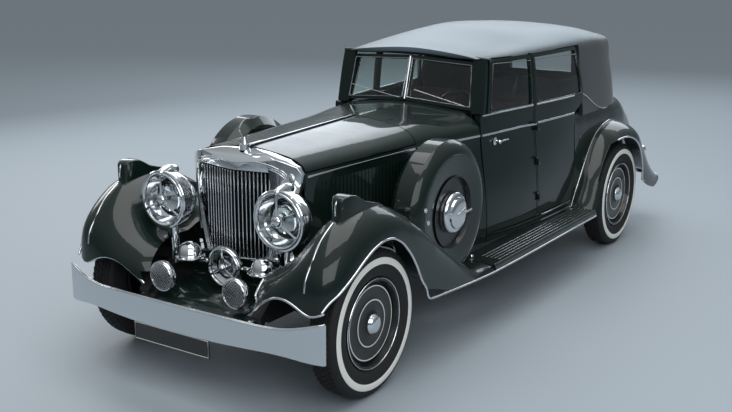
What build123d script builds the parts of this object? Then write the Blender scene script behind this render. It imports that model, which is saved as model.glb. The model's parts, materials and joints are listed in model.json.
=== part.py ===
"""Four-door vintage luxury tourer with a folding hood, separate wings and side-mounted spare wheels.

Millimetres. +Z is up, the car faces -Y and its left side is +X. The origin is on the floor, under
the middle of the car's length and width. Lengths along the car hang on the two axles.
"""
from build123d import *
from math import cos, radians, sin
import os

os.makedirs("parts", exist_ok=True)

# ---------------------------------------------------------------- driving dimensions
wheelbase = 3200
front_overhang = 590            # front axle to the foremost face of the bumper
rear_overhang = 870             # rear axle to the tips of the rear wings
track = 1422
tyre_radius = 368
tyre_width = 150
seat_gap = 0.3                  # between pieces that seat on each other
running_fit = 0.05              # radial, round pins and shafts
moving_gap = 6                  # between pieces that move past each other

overall_length = front_overhang + wheelbase + rear_overhang
front_axle_y = front_overhang - overall_length / 2
rear_axle_y = front_axle_y + wheelbase
wheel_x = track / 2
axle_z = tyre_radius


def front(distance):
    """A place along the car, measured rearwards from the front axle."""
    return front_axle_y + distance


def rear(distance):
    """A place along the car, measured rearwards from the rear axle."""
    return rear_axle_y + distance


def label_and_write(builder, name):
    """Name a finished piece and write it as its own STEP file."""
    builder.part.label = name
    export_step(builder.part, f"parts/{name}.step")

def eased(places, values, at):
    """Value at a place on a smooth curve through the given values that never overshoots them."""
    steps = [after - before for before, after in zip(places, places[1:])]
    slopes = [(after - before) / step for before, after, step in zip(values, values[1:], steps)]
    bends = [slopes[0]]
    for before, after in zip(slopes, slopes[1:]):
        bends.append(0 if before * after <= 0 else 2 * before * after / (before + after))
    bends.append(slopes[-1])
    span = min(sum(1 for place in places[1:] if place < at), len(steps) - 1)
    t = (at - places[span]) / steps[span]
    return (
        values[span] * (2 * t**3 - 3 * t**2 + 1)
        + bends[span] * steps[span] * (t**3 - 2 * t**2 + t)
        + values[span + 1] * (3 * t**2 - 2 * t**3)
        + bends[span + 1] * steps[span] * (t**3 - t**2)
    )


def even_rows(rows, count):
    """The same rows redrawn at even steps of their first number."""
    places = [row[0] for row in rows]
    step = (places[-1] - places[0]) / (count - 1)
    redrawn = []
    for index in range(count):
        at = places[0] + index * step
        redrawn.append([at] + [eased(places, list(column), at) for column in zip(*[r[1:] for r in rows])])
    return redrawn


def pairs(numbers):
    """A flat run of numbers as (x, z) points."""
    return list(zip(numbers[0::2], numbers[1::2]))


def arch(points):
    """A half section of (x, z) points that ends on the middle plane, completed to both sides."""
    return points + [(-x, z) for x, z in points[-2::-1]]


def arched_solid(rows, count):
    """Solid whose sections across the car are smooth arches with a flat underside."""
    with BuildPart() as solid:
        for y, *numbers in even_rows(rows, count):
            points = arch(pairs(numbers))
            with BuildSketch(Plane.XZ.offset(-y)):
                with BuildLine():
                    Spline(*points)
                    Line(points[-1], points[0])
                make_face()
        loft()
    return solid.part


open_below = 80                 # how far a hollow form's inside runs past its open underside


def inset_rows(rows, inset, rear_from):
    """Arch rows drawn in by an inset, and forwards by it from a given place on."""
    drawn = []
    for y, *numbers in rows:
        points = pairs(numbers)
        flat = []
        for index, (x, z) in enumerate(points):
            share = index / (len(points) - 1)
            drop = inset * share if index else open_below
            flat += [max(x - inset * (1 - share**3), 0) if x else 0, z - drop]
        drawn.append([y - inset if y >= rear_from else y] + flat)
    return drawn


def block(x, y, z):
    """A plain box between the given low and high places along each axis."""
    with BuildPart(mode=Mode.PRIVATE) as box:
        with Locations(((x[0] + x[1]) / 2, (y[0] + y[1]) / 2, (z[0] + z[1]) / 2)):
            Box(x[1] - x[0], y[1] - y[0], z[1] - z[0])
    return box.part


# ---------------------------------------------------------------- wheels
rim_radius = 225
rim_width = 126
rim_wall = 14
tread_crown = 10                # how much the tread's middle stands proud of its shoulders
sidewall_round = 34
drum_radius = 150
drum_depth = 60
disc_out = 22                   # wheel disc's outer face from the wheel's middle plane
disc_wall = 12
hub_cap_radius = 52
hub_cap_out = 62
hub_cap_round = 12
stub_radius = 24
stub_reach = 6                  # how far the stub axle passes the wheel's middle plane

wheel_places = {
    "front_left": (wheel_x, front_axle_y),
    "front_right": (-wheel_x, front_axle_y),
    "rear_left": (wheel_x, rear_axle_y),
    "rear_right": (-wheel_x, rear_axle_y),
}


def wheel_plane(place):
    """Sketch plane whose X points out of the car along the axle and whose Y points up."""
    side = 1 if place[0] > 0 else -1
    return Plane(origin=(place[0], place[1], axle_z), x_dir=(side, 0, 0), z_dir=(0, -side, 0))


for corner, place in wheel_places.items():
    half_tyre = tyre_width / 2
    bead_radius = rim_radius + seat_gap
    with BuildPart() as tyre:
        with BuildSketch(wheel_plane(place)):
            with BuildLine():
                Polyline(
                    (-half_tyre + sidewall_round / 2, bead_radius),
                    (half_tyre - sidewall_round / 2, bead_radius),
                    (half_tyre, bead_radius + sidewall_round),
                    (half_tyre, tyre_radius - sidewall_round - tread_crown),
                    (half_tyre - sidewall_round / 2, tyre_radius - tread_crown),
                )
                ThreePointArc(
                    (half_tyre - sidewall_round / 2, tyre_radius - tread_crown),
                    (0, tyre_radius),
                    (-half_tyre + sidewall_round / 2, tyre_radius - tread_crown),
                )
                Polyline(
                    (-half_tyre + sidewall_round / 2, tyre_radius - tread_crown),
                    (-half_tyre, tyre_radius - sidewall_round - tread_crown),
                    (-half_tyre, bead_radius + sidewall_round),
                    (-half_tyre + sidewall_round / 2, bead_radius),
                )
            make_face()
        revolve(axis=Axis((place[0], place[1], axle_z), (1, 0, 0)))
    label_and_write(tyre, f"tyre_{corner}")

    half_rim = rim_width / 2
    with BuildPart() as wheel:
        with BuildSketch(wheel_plane(place)):
            with BuildLine():
                Polyline(
                    (-drum_depth, stub_radius + running_fit),
                    (-drum_depth, drum_radius),
                    (disc_out - disc_wall, drum_radius),
                    (disc_out - disc_wall, rim_radius - rim_wall),
                    (-half_rim, rim_radius - rim_wall),
                    (-half_rim, rim_radius),
                    (half_rim, rim_radius),
                    (half_rim, rim_radius - rim_wall),
                    (disc_out, rim_radius - rim_wall * 2),
                    (disc_out + disc_wall, drum_radius),
                    (disc_out + disc_wall, hub_cap_radius),
                )
                Polyline(
                    (disc_out + disc_wall, hub_cap_radius),
                    (hub_cap_out - hub_cap_round, hub_cap_radius - hub_cap_round / 2),
                    (hub_cap_out, hub_cap_radius - 2 * hub_cap_round),
                    (hub_cap_out, 0),
                )
                Polyline(
                    (hub_cap_out, 0),
                    (stub_reach + moving_gap, 0),
                    (stub_reach + moving_gap, stub_radius + running_fit),
                    (-drum_depth, stub_radius + running_fit),
                )
            make_face()
        revolve(axis=Axis((place[0], place[1], axle_z), (1, 0, 0)))
    label_and_write(wheel, f"wheel_{corner}")

# ---------------------------------------------------------------- axles, knuckles and springs
kingpin_x = 596
kingpin_radius = 15
kingpin_half = 88
beam_height = 44
beam_depth = 56
beam_eye_radius = 28
knuckle_eye_radius = 27
knuckle_web = 40                # half width of the knuckle's upright, along the car
backplate_radius = 142
backplate_wall = 6
backplate_x = wheel_x - drum_depth - moving_gap - backplate_wall

with BuildPart() as front_axle:
    with BuildSketch(Plane.XZ.offset(-front_axle_y - beam_depth / 2)):
        with Locations((0, axle_z)):
            Rectangle(2 * kingpin_x, beam_height)
    extrude(amount=beam_depth)
    with Locations(*[(side * kingpin_x, front_axle_y, axle_z) for side in (1, -1)]):
        Cylinder(beam_eye_radius, beam_height)
        Cylinder(kingpin_radius, 2 * kingpin_half)
label_and_write(front_axle, "front_axle")

eye_height = kingpin_half - beam_height / 2 - moving_gap
for side, name in ((1, "left"), (-1, "right")):
    pin = (side * kingpin_x, front_axle_y)
    with BuildPart() as knuckle:
        for level in (1, -1):
            eye_z = axle_z + level * (beam_height / 2 + moving_gap + eye_height / 2)
            with Locations((pin[0], pin[1], eye_z)):
                Cylinder(knuckle_eye_radius, eye_height)
            with Locations((side * (kingpin_x + (backplate_x - kingpin_x) / 2), pin[1], eye_z)):
                Box(backplate_x - kingpin_x, knuckle_web, eye_height)
        with BuildSketch(Plane.YZ.offset(side * backplate_x)):
            with Locations((front_axle_y, axle_z)):
                Circle(backplate_radius)
        extrude(amount=side * backplate_wall)
        with BuildSketch(Plane.YZ.offset(side * backplate_x)):
            with Locations((front_axle_y, axle_z)):
                Circle(stub_radius)
        extrude(amount=side * (wheel_x + stub_reach - backplate_x))
        with Locations((pin[0], pin[1], axle_z)):
            Cylinder(kingpin_radius + running_fit, 4 * kingpin_half, mode=Mode.SUBTRACT)
    label_and_write(knuckle, f"knuckle_{name}")

axle_tube_radius = 38
differential_radius = 150
torque_tube_radius = 48
torque_tube_reach = 1500        # forwards from the rear axle to the gearbox
with BuildPart() as rear_axle:
    with BuildSketch(Plane.YZ.offset(-backplate_x)):
        with Locations((rear_axle_y, axle_z)):
            Circle(axle_tube_radius)
    extrude(amount=2 * backplate_x)
    for side in (1, -1):
        with BuildSketch(Plane.YZ.offset(side * backplate_x)):
            with Locations((rear_axle_y, axle_z)):
                Circle(backplate_radius)
        extrude(amount=side * backplate_wall)
        with BuildSketch(Plane.YZ.offset(side * backplate_x)):
            with Locations((rear_axle_y, axle_z)):
                Circle(stub_radius)
        extrude(amount=side * (wheel_x + stub_reach - backplate_x))
    with Locations((0, rear_axle_y, axle_z)):
        Sphere(differential_radius)
    with BuildSketch(Plane.XZ.offset(-rear_axle_y)):
        with Locations((0, axle_z)):
            Circle(torque_tube_radius)
    extrude(amount=torque_tube_reach)
label_and_write(rear_axle, "rear_axle")

# ---------------------------------------------------------------- chassis
rail_x = 365                    # middle of each side rail
rail_width = 60
rail_depth = 92
rail_low = 330                  # underside between the axles
rail_high = 432                 # underside where the rail passes over an axle
rail_front = front(-385)
rail_rear = rear(560)
nose_drop = 74                  # how far the rails' front ends drop below the axle arch
nose_length = 52
kick_length = 150
front_kick = front(330)
rear_kick = rear(-470)
cross_depth = 60
cross_width = 80
cross_places = [front(-20), front(520), front(1640), rear(-540), rear(520)]
front_tube_radius = 22

with BuildPart() as chassis_rails:
    for side in (1, -1):
        with BuildSketch(Plane.YZ.offset(side * rail_x - rail_width / 2)):
            with BuildLine():
                Polyline(
                    (rail_front, rail_high - nose_drop),
                    (rail_front + nose_length, rail_high),
                    (front_kick, rail_high),
                    (front_kick + kick_length, rail_low),
                    (rear_kick - kick_length, rail_low),
                    (rear_kick, rail_high),
                    (rail_rear, rail_high),
                    (rail_rear, rail_high + rail_depth),
                    (rear_kick, rail_high + rail_depth),
                    (rear_kick - kick_length, rail_low + rail_depth),
                    (front_kick + kick_length, rail_low + rail_depth),
                    (front_kick, rail_high + rail_depth),
                    (rail_front + 2 * nose_length, rail_high + rail_depth),
                    (rail_front, rail_high),
                    close=True,
                )
            make_face()
        extrude(amount=rail_width)

inner_rail = rail_x - rail_width / 2
with BuildPart() as chassis_frame:
    add(chassis_rails.part)
    for place in cross_places:
        low = rail_low if front_kick < place < rear_kick - kick_length else rail_high
        with Locations((0, place, low + rail_depth / 2)):
            Box(2 * inner_rail, cross_width, cross_depth)
    with BuildSketch(Plane.YZ.offset(-inner_rail)):
        with Locations((rail_front + nose_length / 2, rail_high - nose_drop / 2)):
            Circle(front_tube_radius)
    extrude(amount=2 * inner_rail)
label_and_write(chassis_frame, "chassis_frame")

spring_width = 50
spring_thickness = rail_high - axle_z - beam_height / 2
spring_half_length = 320
with BuildPart() as springs:
    for middle, base in ((front_axle_y, axle_z + beam_height / 2), (rear_axle_y, axle_z + axle_tube_radius)):
        for side in (1, -1):
            with Locations((side * rail_x, middle, (base + rail_high) / 2)):
                Box(spring_width, 2 * spring_half_length, rail_high - base - 2 * seat_gap)
label_and_write(springs, "springs")

engine_width = 420
engine_length = 820
engine_front = front(60)
engine_bottom = rail_low + rail_depth / 2 + cross_depth / 2 + seat_gap
engine_top = 1000
with BuildPart() as engine_block:
    with Locations((0, engine_front + engine_length / 2, (engine_bottom + engine_top) / 2)):
        Box(engine_width, engine_length, engine_top - engine_bottom)
label_and_write(engine_block, "engine_block")

# ---------------------------------------------------------------- body shape
far = 3000                      # longer than any piece, for cutting boxes
door_wall = 45                  # doors, scuttle and body side
frame_wall = 24                 # window frames
engine_clear = 80               # scuttle behind the engine
scuttle_front = engine_front + engine_length + engine_clear
door_front = front(1512)
pillar_y = front(2089)
door_rear = front(2620)
window_rear = front(2752)       # the rear door's frame overhangs its lower panel to here
door_bottom = 432
sill_z = 380
flank_z = 700
belt_z = 1025
window_sill_z = 1138
roof_edge_z = 1462
# Sections of the body side: place along the car, then half widths at the five heights above.
side_heights = (sill_z, flank_z, belt_z, window_sill_z, roof_edge_z)
side_rows = [
    (scuttle_front - 10, 440, 436, 415, 402, 360),
    (front(1230), 520, 512, 470, 460, 426),
    (door_front, 588, 576, 530, 522, 492),
    (pillar_y, 640, 638, 604, 599, 562),
    (door_rear, 650, 664, 650, 645, 586),
    (front(2900), 650, 666, 655, 650, 592),
]
# Sections of the tail, then of the hood: half width and height at each point up to the middle.
tail_rows = [
    (rear(-574), 650, 380, 664, 700, 655, 900, 636, 1000, 400, 1024, 0, 1030),
    (rear(-200), 650, 380, 664, 700, 655, 880, 636, 985, 400, 1010, 0, 1018),
    (rear(150), 640, 390, 656, 700, 648, 880, 616, 990, 380, 1022, 0, 1032),
    (rear(400), 610, 410, 636, 680, 628, 850, 582, 975, 340, 1026, 0, 1040),
    (rear(560), 580, 430, 612, 650, 600, 810, 530, 945, 310, 995, 0, 1010),
    (rear(700), 540, 440, 586, 610, 572, 750, 490, 870, 290, 916, 0, 928),
    (rear(800), 480, 460, 540, 580, 525, 680, 440, 765, 260, 804, 0, 815),
    (rear(845), 400, 480, 460, 570, 445, 640, 360, 706, 220, 738, 0, 746),
]
hood_rows = [
    (front(1572), 540, 990, 510, 1220, 494, 1360, 482, 1446, 436, 1466, 380, 1476, 220, 1494, 0, 1506),
    (front(1900), 590, 990, 572, 1220, 553, 1370, 538, 1458, 432, 1496, 372, 1510, 220, 1534, 0, 1546),
    (front(2350), 640, 990, 610, 1220, 590, 1370, 574, 1464, 432, 1540, 372, 1556, 225, 1584, 0, 1600),
    (rear(-400), 652, 990, 624, 1220, 603, 1370, 588, 1462, 450, 1556, 390, 1565, 235, 1578, 0, 1588),
    (rear(0), 642, 990, 616, 1220, 597, 1370, 582, 1458, 455, 1520, 395, 1530, 230, 1546, 0, 1554),
    (rear(130), 630, 990, 604, 1220, 584, 1360, 566, 1452, 445, 1490, 390, 1501, 225, 1520, 0, 1530),
    (rear(200), 618, 990, 590, 1200, 566, 1320, 540, 1410, 425, 1452, 370, 1466, 220, 1484, 0, 1492),
    (rear(260), 600, 990, 578, 1180, 556, 1270, 524, 1345, 410, 1388, 355, 1398, 210, 1413, 0, 1420),
    (rear(310), 578, 990, 556, 1110, 532, 1165, 495, 1212, 390, 1248, 335, 1258, 200, 1275, 0, 1282),
    (rear(350), 550, 985, 528, 1035, 506, 1062, 470, 1085, 365, 1115, 320, 1124, 180, 1142, 0, 1148),
]
tail_wall = 40
hood_wall = 26
deck_rear = rear(290)           # rear edge of the cabin's opening in the tail
cabin_half = 560
hood_side_front = window_rear + moving_gap
rear_light_half = 250
rear_light_z = (1180, 1350)
lid_half = 420
lid_front = rear(430)
lid_bottom = 570
section_count = 14
hood_count = 16


def side_form(inset):
    """Left half of the body between the scuttle and the rear quarter, drawn in by an inset."""
    with BuildPart() as form:
        for y, *widths in even_rows(side_rows, section_count):
            side = [(width - inset, z) for width, z in zip(widths, side_heights)]
            with BuildSketch(Plane.XZ.offset(-y)):
                with BuildLine():
                    Spline(*side)
                    Polyline(side[-1], (0, side[-1][1]), (0, side[0][1]), side[0])
                make_face()
        loft()
    return form.part


outer_side = side_form(0)
inner_side = side_form(door_wall)
inner_frame = side_form(frame_wall)
outer_tail = arched_solid(tail_rows, section_count)
inner_tail = arched_solid(inset_rows(tail_rows, tail_wall, rear(400)), section_count)
outer_hood = arched_solid(hood_rows, hood_count)
inner_hood = arched_solid(inset_rows(hood_rows, hood_wall, rear(0)), hood_count)

# ---------------------------------------------------------------- hood, tail and boot lid
hood_front_opening = block((-far, far), (-far, hood_side_front), (0, roof_edge_z))
with BuildPart() as hood:
    add(outer_hood)
    add(hood_front_opening, mode=Mode.SUBTRACT)
    add(inner_hood - hood_front_opening, mode=Mode.SUBTRACT)
    add(outer_tail, mode=Mode.SUBTRACT)
    add(block((-rear_light_half, rear_light_half), (rear(100), far), rear_light_z), mode=Mode.SUBTRACT)
label_and_write(hood, "hood")

wheel_well_radius = tyre_radius + 40
wheel_well_x = 596
well_wall = 8
axle_slot = axle_tube_radius + 40


def wheel_well(radius, inner_x):
    """Drum about the rear axle on both sides of the body, from an inner place outwards."""
    with BuildPart(mode=Mode.PRIVATE) as wells:
        for side in (1, -1):
            with BuildSketch(Plane.YZ.offset(side * inner_x)):
                with Locations((rear_axle_y, axle_z)):
                    Circle(radius)
            extrude(amount=side * far)
    return wells.part


well_outside = wheel_well(wheel_well_radius + well_wall, wheel_well_x - well_wall)
with BuildPart() as wheel_houses:
    add(outer_tail)
    add(well_outside, mode=Mode.INTERSECT)
    add(wheel_well(wheel_well_radius, wheel_well_x), mode=Mode.SUBTRACT)
cabin_opening = block((-cabin_half, cabin_half), (-far, deck_rear), (belt_z - 100, far))
lid_opening = block((-lid_half, lid_half), (lid_front, far), (lid_bottom, far))
with BuildPart() as rear_body:
    add(outer_tail)
    add(inner_tail, mode=Mode.SUBTRACT)
    add(cabin_opening, mode=Mode.SUBTRACT)
    add(lid_opening, mode=Mode.SUBTRACT)
    add(well_outside, mode=Mode.SUBTRACT)
    add(wheel_houses.part)
    add(
        block((-far, far), (rear_axle_y - axle_slot, rear_axle_y + axle_slot), (0, axle_z + axle_slot)),
        mode=Mode.SUBTRACT,
    )

lid_reach = lid_half - moving_gap
tail_face = tail_rows[-1][0]
lid_hinge_y = tail_face + 14
lid_hinge_z = lid_bottom + moving_gap / 2
lid_hinge_places = (-300, 300)
lid_barrel_radius = 7
lid_barrel_half = 20
lid_arm = (tail_face - 8, lid_hinge_y + 3)
lid_lug_length = 16
lid_pin_radius = 4


def lid_round(radius, low, high):
    """Round piece on the boot lid's hinge line between two places across the car."""
    with BuildPart(mode=Mode.PRIVATE) as piece:
        with BuildSketch(Plane.YZ.offset(low)):
            with Locations((lid_hinge_y, lid_hinge_z)):
                Circle(radius)
        extrude(amount=high - low)
    return piece.part


with BuildPart() as rear_body_and_lugs:
    add(rear_body.part)
    for middle in lid_hinge_places:
        ends = (middle - lid_barrel_half, middle + lid_barrel_half)
        add(lid_round(lid_barrel_radius, *ends))
        add(block(ends, lid_arm, (lid_bottom - 2 * moving_gap, lid_bottom)))
        add(lid_round(lid_pin_radius + running_fit, *ends), mode=Mode.SUBTRACT)
label_and_write(rear_body_and_lugs, "rear_body")

with BuildPart() as boot_lid:
    add(outer_tail)
    add(inner_tail, mode=Mode.SUBTRACT)
    add(
        block((-lid_reach, lid_reach), (lid_front + moving_gap, far), (lid_bottom + moving_gap, far)),
        mode=Mode.INTERSECT,
    )
    for middle in lid_hinge_places:
        for way in (1, -1):
            near = middle + way * (lid_barrel_half + seat_gap)
            ends = sorted((near, near + way * lid_lug_length))
            add(lid_round(lid_barrel_radius, *ends))
            add(block(ends, lid_arm, (lid_bottom + moving_gap, lid_bottom + 3 * moving_gap)))
            add(lid_round(lid_pin_radius, *sorted((near, near - way * (lid_barrel_half - moving_gap)))))
label_and_write(boot_lid, "boot_lid")

# ---------------------------------------------------------------- doors, pillars and windows
strip_half = 5                  # visible pillar between the two doors of a side
post_half = 30
post_wall = 30
door_edge = strip_half + moving_gap
sill_wall = 90
screen_foot_y = front(1550)     # windscreen's outer foot
screen_top_y = front(1597)
screen_post = 24
window_frame = 22               # frame width round a door's glass
glass_wall = 5
hinge_lean = 0.074              # how far the hinge line leans inwards for each unit of height
hinge_clear = 10                # hinge line outside the flank
hinge_levels = (560, 790, 1010)
barrel_radius = 6
barrel_height = 30
lug_height = 14
hinge_pin_radius = 3
hinge_arm = 8
door_swing = 585                # front door's free edge from its hinge line
handle_y = front(1640)
handle_z = 981


def half_width(y, z):
    """Half width of the body side at a place and a height."""
    places = [row[0] for row in side_rows]
    widths = [eased(places, [row[1 + i] for row in side_rows], y) for i in range(len(side_heights))]
    return eased(side_heights, widths, z)


def hinge_x(z):
    """Distance of the door hinge line from the middle plane at a height."""
    return half_width(pillar_y, flank_z) + hinge_clear - hinge_lean * (z - flank_z)


hinge_axis = Axis((hinge_x(sill_z), pillar_y, sill_z), (-hinge_lean, 0, 1))
hinge_plane = Plane(origin=hinge_axis.position, x_dir=(0, 1, 0), z_dir=hinge_axis.direction)


def hinge_drum(radius, low=-100, high=far / 2):
    """Drum about the left door hinge line between two distances along it."""
    with BuildPart(mode=Mode.PRIVATE) as drum:
        with BuildSketch(hinge_plane.offset(low)):
            Circle(radius)
        extrude(amount=high - low)
    return drum.part


def side_prism(outline):
    """Prism through the left side of the car with a (y, z) outline."""
    with BuildPart(mode=Mode.PRIVATE) as prism:
        with BuildSketch(Plane.YZ):
            with BuildLine():
                Polyline(*outline, close=True)
            make_face()
        extrude(amount=far)
    return prism.part


def shell(prism, inset, wall):
    """Wall of the body side inside a prism, starting an inset below the outer face."""
    start = outer_side if inset == 0 else side_form(inset)
    return (start & prism) - side_form(inset + wall)


front_foot = screen_foot_y + screen_post + moving_gap
front_top = screen_top_y + screen_post + moving_gap
frame_top = roof_edge_z - moving_gap
front_door_panel = [
    (door_front - 20, door_bottom),
    (pillar_y - door_edge, door_bottom),
    (pillar_y - door_edge, window_sill_z),
    (door_front - 20, window_sill_z),
]
front_door_frame = [
    (front_foot, window_sill_z - 1),
    (pillar_y - door_edge, window_sill_z - 1),
    (pillar_y - door_edge, frame_top),
    (front_top, frame_top),
]
front_glass = [
    (front_foot + 1.3 * window_frame, window_sill_z + window_frame / 2),
    (pillar_y - door_edge - window_frame, window_sill_z + window_frame / 2),
    (pillar_y - door_edge - window_frame, frame_top - window_frame),
    (front_top + window_frame, frame_top - window_frame),
]
rear_door_panel = [
    (pillar_y + door_edge, door_bottom),
    (door_rear - moving_gap, door_bottom),
    (door_rear - moving_gap, belt_z),
    (window_rear - moving_gap, belt_z + 60),
    (window_rear - moving_gap, window_sill_z),
    (pillar_y + door_edge, window_sill_z),
]
rear_door_frame = [
    (pillar_y + door_edge, window_sill_z - 1),
    (window_rear, window_sill_z - 1),
    (window_rear - 50, frame_top),
    (pillar_y + door_edge, frame_top),
]
rear_glass = [
    (pillar_y + door_edge + window_frame, window_sill_z + window_frame / 2),
    (window_rear - 1.2 * window_frame, window_sill_z + window_frame / 2),
    (window_rear - 50 - window_frame, frame_top - window_frame),
    (pillar_y + door_edge + window_frame, frame_top - window_frame),
]


def hinge_lugs(way):
    """Lugs and pins of one door: way is -1 for the front door, above, and 1 for the rear door."""
    with BuildPart(mode=Mode.PRIVATE) as lugs:
        for level in hinge_levels:
            along = level - sill_z
            gap_start = barrel_height / 2 + seat_gap
            lug_middle = along - way * (gap_start + lug_height / 2)
            with BuildSketch(hinge_plane.offset(lug_middle - lug_height / 2)):
                Circle(barrel_radius)
            extrude(amount=lug_height)
            with BuildSketch(hinge_plane.offset(along - way * gap_start)):
                Circle(hinge_pin_radius)
            extrude(amount=way * (barrel_height / 2 - moving_gap))
            z = sill_z + lug_middle * hinge_axis.direction.Z
            surface = half_width(pillar_y, z)
            x = hinge_x(z)
            with Locations((x, pillar_y + way * 15, z)):
                Box(hinge_arm, 30, lug_height - 2)
            with Locations(((surface - hinge_arm + x) / 2, pillar_y + way * 24, z)):
                Box(x + hinge_arm - surface, 12, lug_height - 2)
    return lugs.part


def mirrored(solid):
    """The same solid on the right side of the car."""
    return solid.mirror(Plane.YZ)


with BuildPart() as front_door:
    add(shell(side_prism(front_door_panel), 0, door_wall))
    add(shell(side_prism(front_door_frame), 0, frame_wall))
    add(side_prism(front_glass), mode=Mode.SUBTRACT)
    add(hinge_drum(door_swing), mode=Mode.INTERSECT)
    add(hinge_lugs(-1))
with BuildPart() as rear_door:
    add(shell(side_prism(rear_door_panel), 0, door_wall))
    add(shell(side_prism(rear_door_frame), 0, frame_wall))
    add(side_prism(rear_glass), mode=Mode.SUBTRACT)
    add(hinge_lugs(1))
glass_inset = (frame_wall - glass_wall) / 2
front_pane = shell(side_prism(front_glass), glass_inset, glass_wall)
rear_pane = shell(side_prism(rear_glass), glass_inset, glass_wall)
for solid, name in (
    (front_door.part, "door_front"),
    (rear_door.part, "door_rear"),
    (front_pane, "window_front"),
    (rear_pane, "window_rear"),
):
    with BuildPart() as left_piece:
        add(solid)
    label_and_write(left_piece, f"{name}_left")
    with BuildPart() as right_piece:
        add(mirrored(solid))
    label_and_write(right_piece, f"{name}_right")

sill_top = door_bottom - moving_gap
sill_rear = tail_rows[0][0] - seat_gap
sill_outline = [(door_front, sill_z), (sill_rear, sill_z), (sill_rear, sill_top), (door_front, sill_top)]
strip_outline = [
    (pillar_y - strip_half, sill_top - 1),
    (pillar_y + strip_half, sill_top - 1),
    (pillar_y + strip_half, roof_edge_z - seat_gap),
    (pillar_y - strip_half, roof_edge_z - seat_gap),
]
post_outline = [
    (pillar_y - post_half, sill_top - 1),
    (pillar_y + post_half, sill_top - 1),
    (pillar_y + post_half, window_sill_z),
    (pillar_y - post_half, window_sill_z),
]
post_inset = door_wall + moving_gap
with BuildPart() as body_sides:
    add(shell(side_prism(sill_outline), 0, sill_wall))
    add(shell(side_prism(strip_outline), 0, frame_wall))
    add(shell(side_prism(post_outline), post_inset, post_wall))
    add(shell(side_prism([(y, min(z, window_sill_z)) for y, z in strip_outline]), 0, post_inset + 1))
    for level in hinge_levels:
        along = level - sill_z
        with BuildSketch(hinge_plane.offset(along - barrel_height / 2)):
            Circle(barrel_radius)
        extrude(amount=barrel_height)
        surface = half_width(pillar_y, level)
        with Locations(((surface - hinge_arm + hinge_x(level)) / 2, pillar_y, level)):
            Box(hinge_x(level) - surface + hinge_arm, 2 * strip_half - 2, barrel_height - moving_gap)
        with BuildSketch(hinge_plane.offset(along - barrel_height)):
            Circle(hinge_pin_radius + running_fit)
        extrude(amount=2 * barrel_height, mode=Mode.SUBTRACT)
    mirror(about=Plane.YZ)
label_and_write(body_sides, "body_sides")

# ---------------------------------------------------------------- scuttle and bonnet
bonnet_wall = 8
radiator_back = 26              # behind the front axle
bonnet_front = front(radiator_back) + seat_gap
bonnet_rear = scuttle_front - seat_gap
bonnet_side_low = 612
bonnet_split = 1044             # height of the side hinge line's lower edge
centre_rod_radius = 5
centre_barrel_radius = 9
centre_barrel_length = 60
bulkhead_wall = 12
# Sections of bonnet and scuttle: half width and height at each point up to the middle.
bonnet_rows = [
    (front(20), 350, sill_z, 351, 700, 352, 1015, 343, 1066, 300, 1098, 190, 1124, 0, 1142),
    (front(500), 392, sill_z, 390, 700, 386, 1015, 378, 1068, 334, 1106, 210, 1138, 0, 1158),
    (front(960), 436, sill_z, 432, 700, 416, 1015, 408, 1068, 362, 1114, 230, 1150, 0, 1172),
    (front(1230), 520, sill_z, 512, 700, 472, 1015, 464, 1070, 412, 1120, 260, 1158, 0, 1180),
    (front(1600), 606, sill_z, 594, 700, 545, 1015, 537, 1072, 480, 1126, 300, 1166, 0, 1188),
]
outer_bonnet = arched_solid(bonnet_rows, section_count)
inner_bonnet = arched_solid(inset_rows(bonnet_rows, bonnet_wall, far), section_count)
inner_scuttle = arched_solid(inset_rows(bonnet_rows, door_wall, far), section_count)

scuttle_space = block((-far, far), (scuttle_front, far), (0, far))
rail_clear = rail_low + rail_depth + seat_gap
with BuildPart() as scuttle:
    add(outer_bonnet & scuttle_space)
    add(inner_scuttle & block((-far, far), (scuttle_front + bulkhead_wall, far), (0, far)), mode=Mode.SUBTRACT)
    add(block((-rail_x - 60, rail_x + 60), (-far, far), (0, rail_clear)), mode=Mode.SUBTRACT)
    for side in (1, -1):
        door_space = block((0, far), (door_front - 8, far), (0, window_sill_z + moving_gap))
        round_space = hinge_drum(door_swing + moving_gap) & block(
            (0, far), (-far, far), (door_bottom - moving_gap, window_sill_z + moving_gap)
        )
        for space in (door_space, round_space):
            add(space if side > 0 else mirrored(space), mode=Mode.SUBTRACT)
label_and_write(scuttle, "scuttle")

crease_front = Vector(0, bonnet_front, 1143)
crease_rear = Vector(0, bonnet_rear, 1173)
crease = crease_rear - crease_front
crease_plane = Plane(origin=crease_front, x_dir=(1, 0, 0), z_dir=crease)
with BuildPart() as bonnet_hinge:
    with BuildSketch(crease_plane):
        Circle(centre_rod_radius)
    extrude(amount=crease.length)
label_and_write(bonnet_hinge, "bonnet_hinge")

side_space = block((0, far), (bonnet_front, bonnet_rear), (bonnet_side_low, bonnet_split))
top_space = block(
    (centre_barrel_radius + moving_gap, far),
    (bonnet_front + moving_gap, bonnet_rear - moving_gap),
    (bonnet_split + moving_gap, far),
)
louvre_count = 26
louvre_pitch = 30
louvre_first = front(140)
louvre_low = 690
louvre_high = 985
louvre_width = 12
louvre_proud = 7
with BuildPart() as bonnet_sides:
    add((outer_bonnet & side_space) - inner_bonnet)
    for index in range(louvre_count):
        y = louvre_first + index * louvre_pitch
        x = eased([row[0] for row in bonnet_rows], [row[3] for row in bonnet_rows], y)
        with BuildSketch(Plane.XY.offset(louvre_low)):
            with BuildLine():
                Polyline(
                    (x - bonnet_wall / 2, y),
                    (x + louvre_proud, y + louvre_width),
                    (x - bonnet_wall / 2, y + louvre_width),
                    close=True,
                )
            make_face()
        extrude(amount=louvre_high - louvre_low)
    mirror(about=Plane.YZ)
label_and_write(bonnet_sides, "bonnet_sides")

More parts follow.
